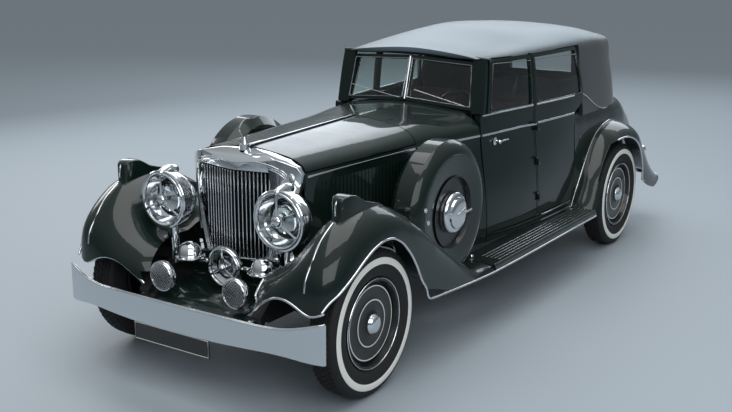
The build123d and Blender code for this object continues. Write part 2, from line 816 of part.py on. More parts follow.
left_top = (outer_bonnet & top_space) - inner_bonnet
barrel_places = [0.12, 0.5, 0.88]
barrel_step = centre_barrel_length + moving_gap
for side, name in ((1, "left"), (-1, "right")):
    with BuildPart() as bonnet_top:
        add(left_top if side > 0 else mirrored(left_top))
        for share in barrel_places:
            start = share * (crease.length - 2 * barrel_step) + (0 if side > 0 else barrel_step)
            with BuildSketch(crease_plane.offset(start)):
                Circle(centre_barrel_radius)
                with Locations((side * (centre_barrel_radius + moving_gap) / 2, 3)):
                    Rectangle(centre_barrel_radius + moving_gap + 6, 7)
            extrude(amount=centre_barrel_length)
        with BuildSketch(crease_plane.offset(-moving_gap)):
            Circle(centre_rod_radius + running_fit)
        extrude(amount=crease.length + 2 * moving_gap, mode=Mode.SUBTRACT)
    label_and_write(bonnet_top, f"bonnet_top_{name}")

# ---------------------------------------------------------------- radiator
shell_bottom = 585
nose_reach = 112                # middle of the radiator in front of the front axle
radiator_outline = [(246, 585), (300, 780), (346, 985), (352, 1040), (330, 1078), (270, 1106), (150, 1130), (0, 1142)]
radiator_plan = [(356, radiator_back), (356, 6), (262, -56), (188, -70), (0, -nose_reach)]
radiator_profile = [(radiator_back, 585), (-112, 585), (-110, 1040), (-96, 1082), (-62, 1112), (-22, 1131), (radiator_back, 1140)]
opening_outline = [(184, 600), (259, 1046)]
slat_count = 23
radiator_foot_x = 190
radiator_foot_width = 46
radiator_foot_low = rail_high + (rail_depth + cross_depth) / 2 + seat_gap
slat_pitch = 22.4
slat_width = 6
slat_depth = 18
core_back = 30                  # radiator core behind the slats' front edges


def nose_line(x, behind):
    """Place of the V-shaped radiator front at a distance from the middle plane."""
    plan = radiator_plan[:1:-1]
    return front(eased([p[0] for p in plan], [p[1] for p in plan], abs(x)) + behind)


with BuildPart() as radiator_form:
    with BuildSketch(Plane.XZ.offset(-front(0))):
        with BuildLine():
            Polyline(*arch(radiator_outline), close=True)
        make_face()
    extrude(amount=far, both=True)
    with BuildSketch(Plane.XY):
        with BuildLine():
            Polyline(*[(x, front(y)) for x, y in arch(radiator_plan)], close=True)
        make_face()
    extrude(amount=far, mode=Mode.INTERSECT)
    with BuildSketch(Plane.YZ):
        with BuildLine():
            Polyline(*[(front(y), z) for y, z in radiator_profile], close=True)
        make_face()
    extrude(amount=far, both=True, mode=Mode.INTERSECT)
with BuildPart() as grille_space:
    with BuildSketch(Plane.XZ.offset(-front(0))):
        with BuildLine():
            Polyline(*opening_outline, *[(-x, z) for x, z in opening_outline[::-1]], close=True)
        make_face()
    extrude(amount=far)
core_space = block((-far, far), (-far, front(-nose_reach + 3 * core_back)), (0, far))
with BuildPart() as radiator_shell:
    add(radiator_form.part)
    add(grille_space.part & core_space, mode=Mode.SUBTRACT)
    for side in (1, -1):
        with Locations((side * radiator_foot_x, cross_places[0], (radiator_foot_low + shell_bottom + 2) / 2)):
            Box(radiator_foot_width, radiator_foot_width, shell_bottom + 2 - radiator_foot_low)
label_and_write(radiator_shell, "radiator_shell")

with BuildPart() as radiator_grille:
    for index in range(slat_count):
        x = (index - (slat_count - 1) / 2) * slat_pitch
        y = nose_line(x, 4)
        add(block((x - slat_width / 2, x + slat_width / 2), (y, y + slat_depth), (opening_outline[0][1], opening_outline[1][1])))
    for level in (700, 950):
        with BuildSketch(Plane.XY.offset(level)):
            with BuildLine():
                edge = opening_outline[1][0]
                Polyline(
                    (-edge, nose_line(edge, 10)),
                    (0, nose_line(0, 10)),
                    (edge, nose_line(edge, 10)),
                    (edge, nose_line(edge, 20)),
                    (0, nose_line(0, 20)),
                    (-edge, nose_line(edge, 20)),
                    close=True,
                )
            make_face()
        extrude(amount=10)
    add(grille_space.part & core_space, mode=Mode.INTERSECT)
label_and_write(radiator_grille, "radiator_grille")

cap_y = front(-8)
cap_base_z = 1135
fin_outline = [(0, 0), (26, 18), (64, 52), (118, 96), (60, 92), (18, 96), (-22, 76), (-36, 48), (-20, 20)]
with BuildPart() as radiator_cap:
    with Locations((0, cap_y, cap_base_z + 10)):
        Cylinder(26, 30)
    with Locations((0, cap_y, cap_base_z + 40)):
        Cone(20, 9, 40)
    with BuildSketch(Plane.YZ.offset(-4)):
        with BuildLine():
            Spline(*[(cap_y + y, cap_base_z + 52 + z) for y, z in fin_outline], periodic=True)
        make_face()
    extrude(amount=8)
    add(radiator_form.part, mode=Mode.SUBTRACT)
label_and_write(radiator_cap, "radiator_cap")

# ---------------------------------------------------------------- wings and running boards
wing_wall = 7
wing_outer = 838                # outermost face of the wings
wing_count = 18
# Wings are drawn in sections square to their crest. Each row is the crest's place from the axle and
# its height, then the section's points: distance from the middle plane and drop below the crest.
front_wing_rows = [
    (-436, 380, 290, 52, 450, 10, 640, 0, 770, 24, 830, 96, 838, 250),
    (-450, 545, 345, 96, 470, 20, 650, 0, 780, 30, 832, 110, 838, 250),
    (-420, 695, 362, 170, 500, 72, 690, 0, 790, 36, 832, 120, 838, 260),
    (-318, 830, 402, 250, 530, 110, 692, 0, 794, 44, 832, 130, 838, 270),
    (-159, 922, 408, 290, 545, 124, 694, 0, 796, 50, 832, 140, 838, 280),
    (0, 946, 404, 292, 550, 120, 696, 0, 798, 52, 832, 140, 838, 280),
    (140, 920, 412, 262, 555, 104, 698, 0, 800, 50, 832, 132, 838, 280),
    (290, 850, 424, 196, 560, 76, 698, 0, 802, 44, 832, 124, 838, 300),
    (432, 758, 430, 124, 564, 46, 698, 0, 804, 38, 832, 112, 838, 300),
    (590, 632, 436, 60, 566, 20, 698, 0, 806, 30, 832, 96, 838, 250),
    (760, 512, 440, 22, 570, 8, 698, 0, 806, 24, 832, 76, 838, 170),
    (960, 404, 464, 8, 580, 2, 698, 0, 806, 16, 830, 42, 838, 80),
    (1150, 364, 524, 4, 610, 1, 698, 0, 806, 6, 830, 14, 838, 30),
]
front_arch = [(-560, 560), (-422, 571), (-353, 628), (-267, 684), (-163, 744), (-81, 778), (33, 792), (118, 766)]
front_arch += [(211, 689), (279, 603), (339, 504), (378, 429), (436, 386), (1180, 338)]
front_edge = [(260, 380), (288, 407), (400, 500), (500, 566), (574, 578), (650, 556), (723, 526), (790, 548), (900, 600)]
rear_wing_rows = [
    (-556, 362, 645, 0, 700, 4, 760, 20, 810, 58, 834, 112, 838, 230),
    (-470, 520, 645, 0, 700, 4, 760, 20, 810, 60, 834, 116, 838, 250),
    (-364, 690, 645, 0, 700, 6, 760, 24, 810, 66, 834, 124, 838, 260),
    (-236, 806, 645, 0, 700, 6, 760, 26, 810, 68, 834, 126, 838, 260),
    (-80, 868, 645, 0, 700, 7, 760, 28, 810, 70, 834, 128, 838, 260),
    (90, 886, 645, 0, 700, 7, 760, 28, 810, 70, 834, 128, 838, 260),
    (250, 846, 643, 0, 700, 8, 760, 30, 810, 72, 834, 130, 838, 280),
    (406, 716, 640, 0, 700, 8, 760, 30, 810, 72, 834, 130, 838, 300),
    (560, 556, 634, 0, 700, 8, 760, 28, 810, 66, 834, 120, 838, 240),
    (704, 446, 620, 0, 690, 6, 756, 22, 808, 54, 832, 96, 838, 160),
    (862, 366, 600, 0, 680, 4, 750, 12, 804, 30, 830, 52, 838, 70),
]
rear_arch = [(-620, 336), (-468, 338), (-428, 488), (-381, 650), (-310, 722), (-232, 764), (-120, 790), (-36, 794)]
rear_arch += [(80, 772), (197, 700), (262, 610), (300, 496), (325, 360), (340, 316), (398, 294), (717, 352), (900, 358)]
tail_plan = [(wing_outer + 20, 600), (838, 700), (822, 770), (790, 818), (745, 852), (690, 866), (600, 869)]


def crest_path(rows):
    """Rows with the distance along the crest as their first number."""
    length = 0
    before = rows[0]
    path = []
    for row in rows:
        length += ((row[0] - before[0]) ** 2 + (row[1] - before[1]) ** 2) ** 0.5
        path.append((length, *row))
        before = row
    return path


def wing_solid(rows, axle_y, count):
    """Curved wing sheet through sections square to its crest."""
    redrawn = even_rows(crest_path(rows), count)
    with BuildPart(mode=Mode.PRIVATE) as sheet:
        for index, row in enumerate(redrawn):
            before = redrawn[max(index - 1, 0)]
            after = redrawn[min(index + 1, count - 1)]
            along = Vector(0, after[1] - before[1], after[2] - before[2])
            plane = Plane(origin=(0, axle_y + row[1], row[2]), x_dir=(1, 0, 0), z_dir=-along)
            outer = [(x, -drop) for x, drop in pairs(row[3:])]
            inner = []
            for place, point in enumerate(outer):
                low = outer[max(place - 1, 0)]
                high = outer[min(place + 1, len(outer) - 1)]
                run = Vector(high[0] - low[0], high[1] - low[1]).normalized()
                inner.append((point[0] + run.Y * wing_wall, point[1] - run.X * wing_wall))
            with BuildSketch(plane):
                with BuildLine():
                    Spline(*outer)
                    Line(outer[-1], inner[-1])
                    Spline(*inner[::-1])
                    Line(inner[0], outer[0])
                make_face()
        loft()
    return sheet.part


def outline_prism(plane, outline, corners, reach):
    """Prism through both sides of a plane, with a smooth outline closed round some corners."""
    with BuildPart(mode=Mode.PRIVATE) as prism:
        with BuildSketch(plane):
            with BuildLine():
                Spline(*outline)
                Polyline(outline[-1], *corners, outline[0])
            make_face()
        extrude(amount=reach, both=True)
    return prism.part


front_arch_space = outline_prism(
    Plane.YZ.offset(wing_outer),
    [(front(y), z) for y, z in front_arch],
    [(front(front_arch[-1][0]), 0), (front(front_arch[0][0]), 0)],
    60,
)
front_edge_space = outline_prism(
    Plane.XZ.offset(-front(-450)), front_edge, [(front_edge[-1][0], 0), (front_edge[0][0], 0)], 110
)
rear_arch_space = outline_prism(
    Plane.YZ.offset(wing_outer),
    [(rear(y), z) for y, z in rear_arch],
    [(rear(rear_arch[-1][0]), 0), (rear(rear_arch[0][0]), 0)],
    60,
)
tail_space = outline_prism(
    Plane.XY,
    [(x, rear(y)) for x, y in tail_plan],
    [(0, rear(tail_plan[-1][1])), (0, rear(-700)), (tail_plan[0][0], rear(-700))],
    2000,
)

spare_y = front(810)
spare_z = 740
spare_radius = 385
spare_inner = 560               # cover's inner and outer faces from the middle plane
spare_outer = 748
spare_round = 46
recess_radius = 195
recess_depth = 26
spare_cap_radius = 108
spare_cap_out = 34


def spare_plane(side):
    """Sketch plane through a spare wheel's axis, X outwards and Y up."""
    return Plane(origin=(0, spare_y, spare_z), x_dir=(side, 0, 0), z_dir=(0, -side, 0))


with BuildPart() as spare_covers:
    for side in (1, -1):
        with BuildSketch(spare_plane(side)):
            with BuildLine():
                Polyline(
                    (spare_inner, 0),
                    (spare_inner, spare_radius - spare_round),
                    (spare_inner + spare_round, spare_radius),
                    (spare_outer - spare_round, spare_radius),
                )
                RadiusArc(
                    (spare_outer - spare_round, spare_radius),
                    (spare_outer, spare_radius - 2 * spare_round),
                    2 * spare_round,
                )
                Polyline(
                    (spare_outer, spare_radius - 2 * spare_round),
                    (spare_outer - spare_round / 4, recess_radius),
                    (spare_outer - recess_depth, recess_radius - 8),
                    (spare_outer - recess_depth, spare_cap_radius),
                    (spare_outer + spare_cap_out / 2, spare_cap_radius - 6),
                    (spare_outer + spare_cap_out / 2, spare_cap_radius - 34),
                    (spare_outer + spare_cap_out, spare_cap_radius - 44),
                    (spare_outer + spare_cap_out, 0),
                    (spare_inner, 0),
                )
            make_face()
        revolve(axis=Axis((0, spare_y, spare_z), (1, 0, 0)))
label_and_write(spare_covers, "spare_covers")

with BuildPart() as spare_space:
    with BuildSketch(Plane.YZ.offset(spare_inner - moving_gap)):
        with Locations((spare_y, spare_z)):
            Circle(spare_radius + seat_gap)
    extrude(amount=wing_outer - spare_inner - 40)

side_lamp_x = 692
side_lamp_z = 958
side_lamp_front = front(-182)
side_lamp_nose = [(0, 0), (0, 18), (16, 32)]
side_lamp_tail = [(70, 40), (130, 26), (210, 4), (210, 0)]
with BuildPart() as front_wing:
    add(wing_solid(front_wing_rows, front_axle_y, wing_count))
    add(front_arch_space, mode=Mode.SUBTRACT)
    add(front_edge_space, mode=Mode.SUBTRACT)
    add(spare_space.part, mode=Mode.SUBTRACT)
    add(
        block(
            (0, rail_x + rail_width / 2 + moving_gap),
            (rail_front - moving_gap, rail_front + 2 * nose_length),
            (rail_high - nose_drop - moving_gap, rail_high + rail_depth),
        ),
        mode=Mode.SUBTRACT,
    )
    with BuildSketch(Plane(origin=(side_lamp_x, side_lamp_front, side_lamp_z), x_dir=(0, 1, 0), z_dir=(1, 0, 0))):
        with BuildLine():
            Polyline(*side_lamp_nose)
            ThreePointArc(side_lamp_nose[-1], *side_lamp_tail[:2])
            Polyline(*side_lamp_tail[1:], side_lamp_nose[0])
        make_face()
    revolve(axis=Axis((side_lamp_x, side_lamp_front, side_lamp_z), (0, 1, 0)))
with BuildPart() as rear_wing:
    add(wing_solid(rear_wing_rows, rear_axle_y, wing_count))
    add(rear_arch_space, mode=Mode.SUBTRACT)
    add(tail_space, mode=Mode.INTERSECT)
    add(outer_tail, mode=Mode.SUBTRACT)
for solid, name in ((front_wing.part, "front_wing"), (rear_wing.part, "rear_wing")):
    with BuildPart() as left_wing:
        add(solid)
    label_and_write(left_wing, f"{name}_left")
    with BuildPart() as right_wing:
        add(mirrored(solid))
    label_and_write(right_wing, f"{name}_right")

board_front = front(1153)
board_rear = rear(-562)
board_top = 368
board_wall = 16
board_inner = 600
board_lip = 336
rib_places = [690, 716, 742, 768, 794]
rib_width = 12
rib_height = 6
bracket_width = 50
bracket_places = [board_front + 120, (board_front + board_rear) / 2, board_rear - 120]
rail_face = rail_x + rail_width / 2
with BuildPart() as running_boards:
    board_low = board_top - board_wall
    with BuildSketch(Plane.XZ.offset(-board_rear)):
        with BuildLine():
            Polyline(
                (board_inner, board_low),
                (board_inner, board_top),
                (wing_outer - 14, board_top),
                (wing_outer, board_top - 12),
                (wing_outer, board_lip),
                (wing_outer - 12, board_lip),
                (wing_outer - 12, board_low),
                close=True,
            )
        make_face()
        for place in rib_places:
            with Locations((place, board_top + rib_height / 2 - 1)):
                Rectangle(rib_width, rib_height + 2)
    extrude(amount=board_rear - board_front)
    for place in bracket_places:
        with Locations(((rail_face + board_inner + 40) / 2, place, board_low - 7)):
            Box(board_inner + 40 - rail_face, bracket_width, 14)
    mirror(about=Plane.YZ)
label_and_write(running_boards, "running_boards")

# ---------------------------------------------------------------- nose: apron, lamps, horns, bumper, plates
apron_half = 284
apron_wall = 8
apron_line = [(-74, 580), (-92, 470), (-130, 438), (-250, 436), (-372, 419.8), (-410, 398)]
with BuildPart() as front_apron:
    with BuildSketch(Plane.YZ.offset(-apron_half)):
        with BuildLine():
            Polyline(*[(front(y), z) for y, z in apron_line])
        trace(line_width=apron_wall)
    extrude(amount=2 * apron_half)
label_and_write(front_apron, "front_apron")

headlamp_x = 373
headlamp_y = front(-216)
headlamp_z = 862
headlamp_bowl = [(0, 138), (8, 150), (26, 152), (70, 142), (120, 112), (165, 66), (192, 0)]
centre_lamp_y = front(-188)
centre_lamp_z = 560
centre_lamp_bowl = [(0, 96), (8, 106), (22, 107), (44, 92), (62, 58), (72, 0)]
fog_lamp_x = 236
fog_lamp_y = front(-386)
fog_lamp_z = 524
fog_lamp_bowl = [(0, 70), (6, 78), (18, 78), (44, 64), (64, 34), (72, 0)]
fog_post_height = 102
lamp_bar_y = front(-140)
lamp_bar_z = 556
lamp_bar_radius = 14
lamp_post_radius = 21
stay_reach = 413                # wing stays end inside the wing's wall
stay_half = 12
stay_z = (650, 690)
horn_x = 242
horn_y = front(-174)
horn_shape = [(78, 0), (78, 12), (66, 20), (56, 48), (30, 74), (0, 82)]


def lamp(x, y, z, bowl):
    """Lamp body turned about a line along the car, its rim facing forwards."""
    with BuildPart(mode=Mode.PRIVATE) as body:
        with BuildSketch(Plane(origin=(x, y, z), x_dir=(0, 1, 0), z_dir=(1, 0, 0))):
            with BuildLine():
                Spline(*bowl)
                Polyline(bowl[-1], (0, 0), bowl[0])
            make_face()
        revolve(axis=Axis((x, y, z), (0, 1, 0)))
    return body.part


headlamp_solids = [lamp(side * headlamp_x, headlamp_y, headlamp_z, headlamp_bowl) for side in (1, -1)]
centre_lamp_solid = lamp(0, centre_lamp_y, centre_lamp_z, centre_lamp_bowl)
with BuildPart() as headlamps:
    for solid in headlamp_solids:
        add(solid)
label_and_write(headlamps, "headlamps")

with BuildPart() as driving_lamps:
    add(centre_lamp_solid)
    for side in (1, -1):
        add(lamp(side * fog_lamp_x, fog_lamp_y, fog_lamp_z, fog_lamp_bowl))
        with BuildSketch(Plane.XY.offset(fog_lamp_z - fog_post_height)):
            with Locations((side * fog_lamp_x, fog_lamp_y + 30)):
                Circle(10)
        extrude(amount=fog_post_height - 10)
    add(front_apron.part, mode=Mode.SUBTRACT)
label_and_write(driving_lamps, "driving_lamps")

post_foot = rail_high + rail_depth + seat_gap
with BuildPart() as lamp_posts:
    for side in (1, -1):
        with BuildSketch(Plane.XY.offset(post_foot)):
            with Locations((side * headlamp_x, lamp_bar_y)):
                Circle(lamp_post_radius)
        extrude(amount=headlamp_z - post_foot - 60)
    with BuildSketch(Plane.YZ.offset(-headlamp_x)):
        with Locations((lamp_bar_y, lamp_bar_z)):
            Circle(lamp_bar_radius)
    extrude(amount=2 * headlamp_x)
    for side in (1, -1):
        add(block(
            (min(side * headlamp_x, side * stay_reach), max(side * headlamp_x, side * stay_reach)),
            (lamp_bar_y - stay_half, lamp_bar_y + stay_half),
            stay_z,
        ))
    for solid in headlamp_solids + [front_wing.part, mirrored(front_wing.part)]:
        add(solid, mode=Mode.SUBTRACT)
    add(centre_lamp_solid, mode=Mode.SUBTRACT)
label_and_write(lamp_posts, "lamp_posts")

with BuildPart() as horns:
    for side in (1, -1):
        base = (side * horn_x, horn_y, lamp_bar_z + lamp_bar_radius + seat_gap)
        with BuildSketch(Plane(origin=base, x_dir=(1, 0, 0), z_dir=(0, -1, 0))):
            with BuildLine():
                Polyline(*horn_shape, (0, 0), close=True)
            make_face()
        revolve(axis=Axis(base, (0, 0, 1)))
label_and_write(horns, "horns")

bumper_wall = 12
bumper_half = 814
bumper_sweep = 132              # how far the ends stand behind the middle
bumper_edges = [(0, 352, 484), (400, 349, 472), (650, 336, 470), (760, 320, 496), (bumper_half, 318, 510)]
iron_width = 30
iron_z = (396, 424)


def bumper(front_y, half, sweep, edges, way):
    """Curved blade; way is 1 where its ends stand rearwards of its middle."""
    with BuildPart(mode=Mode.PRIVATE) as blade:
        with BuildSketch(Plane.XY):
            with BuildLine():
                ThreePointArc((-half, front_y + way * sweep), (0, front_y), (half, front_y + way * sweep))
                Line((half, front_y + way * sweep), (half, front_y + way * (sweep + bumper_wall)))
                ThreePointArc(
                    (half, front_y + way * (sweep + bumper_wall)),
                    (0, front_y + way * bumper_wall),
                    (-half, front_y + way * (sweep + bumper_wall)),
                )
                Line((-half, front_y + way * (sweep + bumper_wall)), (-half, front_y + way * sweep))
            make_face()
        extrude(amount=far)
        with BuildSketch(Plane.XZ.offset(-front_y)):
            with BuildLine():
                Spline(*arch([(x, high) for x, low, high in edges[::-1]]))
                Line((-half, edges[-1][2]), (-half, edges[-1][1]))
                Spline(*arch([(x, low) for x, low, high in edges[::-1]]))
                Line((half, edges[-1][1]), (half, edges[-1][2]))
            make_face()
        extrude(amount=far, both=True, mode=Mode.INTERSECT)
    return blade.part


bumper_front = front(-front_overhang)
with BuildPart() as front_bumper:
    add(bumper(bumper_front, bumper_half, bumper_sweep, bumper_edges, 1))
    for side in (1, -1):
        add(block(
            (side * rail_x - iron_width / 2, side * rail_x + iron_width / 2),
            (bumper_front + 34, rail_front - seat_gap),
            iron_z,
        ))
label_and_write(front_bumper, "front_bumper")

rear_bumper_half = 586
rear_bumper_sweep = 60
rear_bumper_y = rear(rear_overhang)
rear_bumper_edges = [(0, 330, 430), (300, 330, 430), (500, 326, 434), (rear_bumper_half, 320, 440)]
with BuildPart() as rear_bumper:
    add(bumper(rear_bumper_y, rear_bumper_half, rear_bumper_sweep, rear_bumper_edges, -1))
    for side in (1, -1):
        add(block(
            (side * rail_x - iron_width / 2, side * rail_x + iron_width / 2),
            (rail_rear - 60, rear_bumper_y - 30),
            (rail_high - 28 - seat_gap, rail_high - seat_gap),
        ))
label_and_write(rear_bumper, "rear_bumper")

plate_half = 242
plate_height = 94
plate_wall = 4
rear_plate_half = 210
rear_plate_z = (488, 560)
with BuildPart() as number_plates:
    plate_top = bumper_edges[0][1] - seat_gap
    add(block(
        (-plate_half, plate_half),
        (bumper_front + bumper_wall, bumper_front + bumper_wall + plate_wall),
        (plate_top - plate_height, plate_top + 20),
    ))
    plate_face = tail_face + seat_gap
    add(block((-rear_plate_half, rear_plate_half), (plate_face, plate_face + plate_wall), rear_plate_z))
    add(front_bumper.part, mode=Mode.SUBTRACT)
label_and_write(number_plates, "number_plates")

# ---------------------------------------------------------------- windscreen
screen_corners = [
    (0, front(1512), 1192), (451, screen_foot_y, 1158), (430, screen_top_y, 1444), (0, front(1584), 1462),
]
screen_wall = 18


def screen_face_points(plane, inset):
    """Windscreen half outline in its own plane, drawn in by an inset."""
    points = [plane.to_local_coords(Vector(*corner)) for corner in screen_corners]
    middle = sum(points, Vector()) / len(points)
    return [
        (p.X + (inset if p.X < middle.X else -inset), p.Y + (inset if p.Y < middle.Y else -inset))
        for p in points
    ]


left_foot = Vector(*screen_corners[0])
screen_plane = Plane(
    origin=left_foot,
    x_dir=Vector(*screen_corners[1]) - left_foot,
    z_dir=(Vector(*screen_corners[1]) - left_foot).cross(Vector(*screen_corners[3]) - left_foot),
)


def screen_pane(inset, hole, wall, behind):
    """Left half of the windscreen: a frame, or a pane where hole is None."""
    with BuildPart(mode=Mode.PRIVATE) as pane:
        with BuildSketch(screen_plane.offset(-behind)):
            with BuildLine():
                Polyline(*screen_face_points(screen_plane, inset), close=True)
            make_face()
            if hole is not None:
                with BuildLine():
                    Polyline(*screen_face_points(screen_plane, hole), close=True)
                make_face(mode=Mode.SUBTRACT)
        extrude(amount=-wall)
    return pane.part


pillar_gap = 14                 # room for the front door's edge as it swings
pillar_lead = 8                 # pillars in front of the screen's outer edge
pillar_lap = 10                 # pillars into the screen's frame
pillar_edge_reach = 100
pillar_line = [
    (screen_foot_y - pillar_lead, window_sill_z + moving_gap),
    (front_foot - pillar_gap, window_sill_z + moving_gap),
    (front_top - pillar_gap, frame_top),
    (screen_top_y - pillar_lead, frame_top),
]
with BuildPart() as screen_pillar:
    with BuildSketch(Plane.XZ.offset(-screen_foot_y)):
        with BuildLine():
            Polyline(
                (screen_corners[1][0] - pillar_lap, window_sill_z),
                (far, window_sill_z),
                (far, roof_edge_z),
                (screen_corners[2][0] - pillar_lap, roof_edge_z),
                close=True,
            )
        make_face()
    extrude(amount=pillar_edge_reach, both=True)
    add(side_form(2) & side_prism(pillar_line), mode=Mode.INTERSECT)
with BuildPart() as windscreen_frame:
    add(screen_pane(0, screen_post, screen_wall, 0))
    add(screen_pillar.part)
    mirror(about=Plane.YZ)
    add(scuttle.part, mode=Mode.SUBTRACT)
    add(hood.part, mode=Mode.SUBTRACT)
label_and_write(windscreen_frame, "windscreen_frame")
with BuildPart() as windscreen_glass:
    add(screen_pane(screen_post + seat_gap, None, glass_wall, screen_wall / 2))
    mirror(about=Plane.YZ)
label_and_write(windscreen_glass, "windscreen_glass")

# ---------------------------------------------------------------- inside
floor_wall = 14
floor_front = scuttle_front + bulkhead_wall + 4
floor_rear = rear_kick - kick_length - 10
floor_reach = sill_wall + seat_gap
door_front_half = half_width(door_front, sill_top)
floor_low = rail_low + rail_depth
toe_edge = [(0, floor_front), (384, floor_front), (door_front_half - floor_reach - 4, door_front), (0, door_front)]
with BuildPart() as floor_pan:
    add(side_form(floor_reach) & block((0, far), (door_front, floor_rear), (floor_low, floor_low + floor_wall)))
    with BuildSketch(Plane.XY.offset(floor_low)):
        with BuildLine():
            Polyline(*toe_edge, close=True)
        make_face()
    extrude(amount=floor_wall)
    mirror(about=Plane.YZ)
label_and_write(floor_pan, "floor_pan")

floor_top = rail_low + rail_depth + floor_wall
seat_x = 270
seat_half = 235
front_cushion = (front(1800), front(2240))
front_cushion_top = 700
back_wall = 120
front_back_top = 1160
back_lean = 60
with BuildPart() as front_seats:
    for side in (1, -1):
        with BuildSketch(Plane.YZ.offset(side * seat_x - seat_half)):
            with BuildLine():
                Polyline(
                    (front_cushion[0], floor_top + seat_gap),
                    (front_cushion[0], front_cushion_top + 20),
                    (front_cushion[1], front_cushion_top),
                    (front_cushion[1] + back_lean, front_back_top),
                    (front_cushion[1] + back_lean + back_wall, front_back_top - 20),
                    (front_cushion[1] + back_wall, floor_top + seat_gap),
                    close=True,
                )
            make_face()
        extrude(amount=2 * seat_half)
label_and_write(front_seats, "front_seats")

rear_seat_half = 530
rear_cushion = (rear(-560), rear(-70))
rear_cushion_top = 740
rear_back_top = 1190
rear_base = rail_high + rail_depth + seat_gap
with BuildPart() as rear_seat:
    with BuildSketch(Plane.YZ.offset(-rear_seat_half)):
        with BuildLine():
            Polyline(
                (rear_cushion[0], rear_base),
                (rear_cushion[0], rear_cushion_top + 20),
                (rear_cushion[1], rear_cushion_top),
                (rear_cushion[1] + 90, rear_back_top),
                (rear_cushion[1] + 90 + back_wall, rear_back_top - 20),
                (rear_cushion[1] + back_wall, rear_base),
                close=True,
            )
        make_face()
    extrude(amount=2 * rear_seat_half)
label_and_write(rear_seat, "rear_seat")

dash_front = front(1500)
dash_rear = front(1560)
dash_z = (960, 1090)
dash_half = 474
with BuildPart() as dashboard:
    add(block((-dash_half, dash_half), (dash_front, dash_rear), dash_z))
    add(scuttle.part, mode=Mode.SUBTRACT)

steer_x = 290
steer_hub = Vector(steer_x, front(1800), 1068)
column_lean = 30                # degrees the column rises from level
column_length = 560
column_radius = 20
steering_wheel_radius = 215
steering_rim_radius = 13
hub_radius = 42
column_way = Vector(0, cos(radians(column_lean)), sin(radians(column_lean)))
column_plane = Plane(origin=steer_hub, x_dir=(1, 0, 0), z_dir=column_way)
with BuildPart() as dashboard_and_column:
    add(dashboard.part)
    with BuildSketch(column_plane.offset(-column_length)):
        Circle(column_radius)
    extrude(amount=column_length - 30)
    with BuildSketch(Plane.YZ.offset(steer_x - 20)):
        with BuildLine():
            Polyline(
                (dash_front + 10, dash_z[0] + 1),
                (dash_rear - 10, dash_z[0] + 1),
                (dash_rear - 10, dash_z[0] - 60),
                (dash_front + 10, dash_z[0] - 90),
                close=True,
            )
        make_face()
    extrude(amount=40)
label_and_write(dashboard_and_column, "dashboard")
with BuildPart() as steering_wheel:
    with BuildSketch(Plane(origin=steer_hub, x_dir=(1, 0, 0), z_dir=column_way.cross(Vector(1, 0, 0)))):
        with Locations((steering_wheel_radius - steering_rim_radius, 0)):
            Circle(steering_rim_radius)
    revolve(axis=Axis(steer_hub, column_way))
    with BuildSketch(column_plane.offset(-30 + seat_gap)):
        Circle(hub_radius)
    extrude(amount=40)
    with BuildSketch(column_plane.offset(-8)):
        for turn in (90, 210, 330):
            with Locations(Rotation(0, 0, turn) * Location((steering_wheel_radius / 2, 0, 0))):
                Rectangle(steering_wheel_radius - steering_rim_radius, 20)
    extrude(amount=10)
label_and_write(steering_wheel, "steering_wheel")

tail_lamp_x = 716
tail_lamp_y = rear(560)
tail_lamp_z = 590
with BuildPart() as tail_lamps:
    for side in (1, -1):
        with BuildSketch(Plane.XZ.offset(-tail_lamp_y)):
            with Locations((side * tail_lamp_x, tail_lamp_z)):
                Circle(36)
        extrude(amount=-46)
        with BuildSketch(Plane.XZ.offset(-tail_lamp_y)):
            with Locations((side * tail_lamp_x, tail_lamp_z - 20)):
                Rectangle(30, 60)
        extrude(amount=-30)
    add(rear_wing.part, mode=Mode.SUBTRACT)
    add(mirrored(rear_wing.part), mode=Mode.SUBTRACT)
label_and_write(tail_lamps, "tail_lamps")
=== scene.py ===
import bpy
import json
import math
from mathutils import Matrix, Vector

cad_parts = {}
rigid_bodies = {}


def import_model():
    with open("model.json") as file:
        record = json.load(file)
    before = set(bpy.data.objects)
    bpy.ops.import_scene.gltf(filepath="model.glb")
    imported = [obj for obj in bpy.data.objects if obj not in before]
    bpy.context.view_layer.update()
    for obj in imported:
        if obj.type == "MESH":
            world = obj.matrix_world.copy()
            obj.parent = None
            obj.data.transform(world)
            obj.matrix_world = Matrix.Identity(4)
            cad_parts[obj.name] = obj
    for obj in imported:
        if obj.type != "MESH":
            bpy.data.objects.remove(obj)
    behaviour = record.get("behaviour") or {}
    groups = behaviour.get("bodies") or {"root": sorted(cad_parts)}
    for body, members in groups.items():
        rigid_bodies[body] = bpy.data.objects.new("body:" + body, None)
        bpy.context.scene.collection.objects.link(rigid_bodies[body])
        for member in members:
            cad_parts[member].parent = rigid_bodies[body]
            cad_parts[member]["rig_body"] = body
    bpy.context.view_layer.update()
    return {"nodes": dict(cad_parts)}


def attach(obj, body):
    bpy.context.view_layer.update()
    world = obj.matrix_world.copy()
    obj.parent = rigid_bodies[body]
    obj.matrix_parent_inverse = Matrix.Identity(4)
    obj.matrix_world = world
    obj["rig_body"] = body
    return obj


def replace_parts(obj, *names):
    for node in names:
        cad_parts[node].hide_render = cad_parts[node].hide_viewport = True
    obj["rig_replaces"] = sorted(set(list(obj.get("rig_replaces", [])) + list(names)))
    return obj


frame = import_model()
nodes = frame["nodes"]
bpy.ops.object.select_all(action="DESELECT")
print("loaded", len(nodes), "nodes")

# metres; the car faces -Y and its left side is +X
frontAxle = -1.740
rearAxle = 1.460
axleHeight = 0.368
wheelOut = 0.711


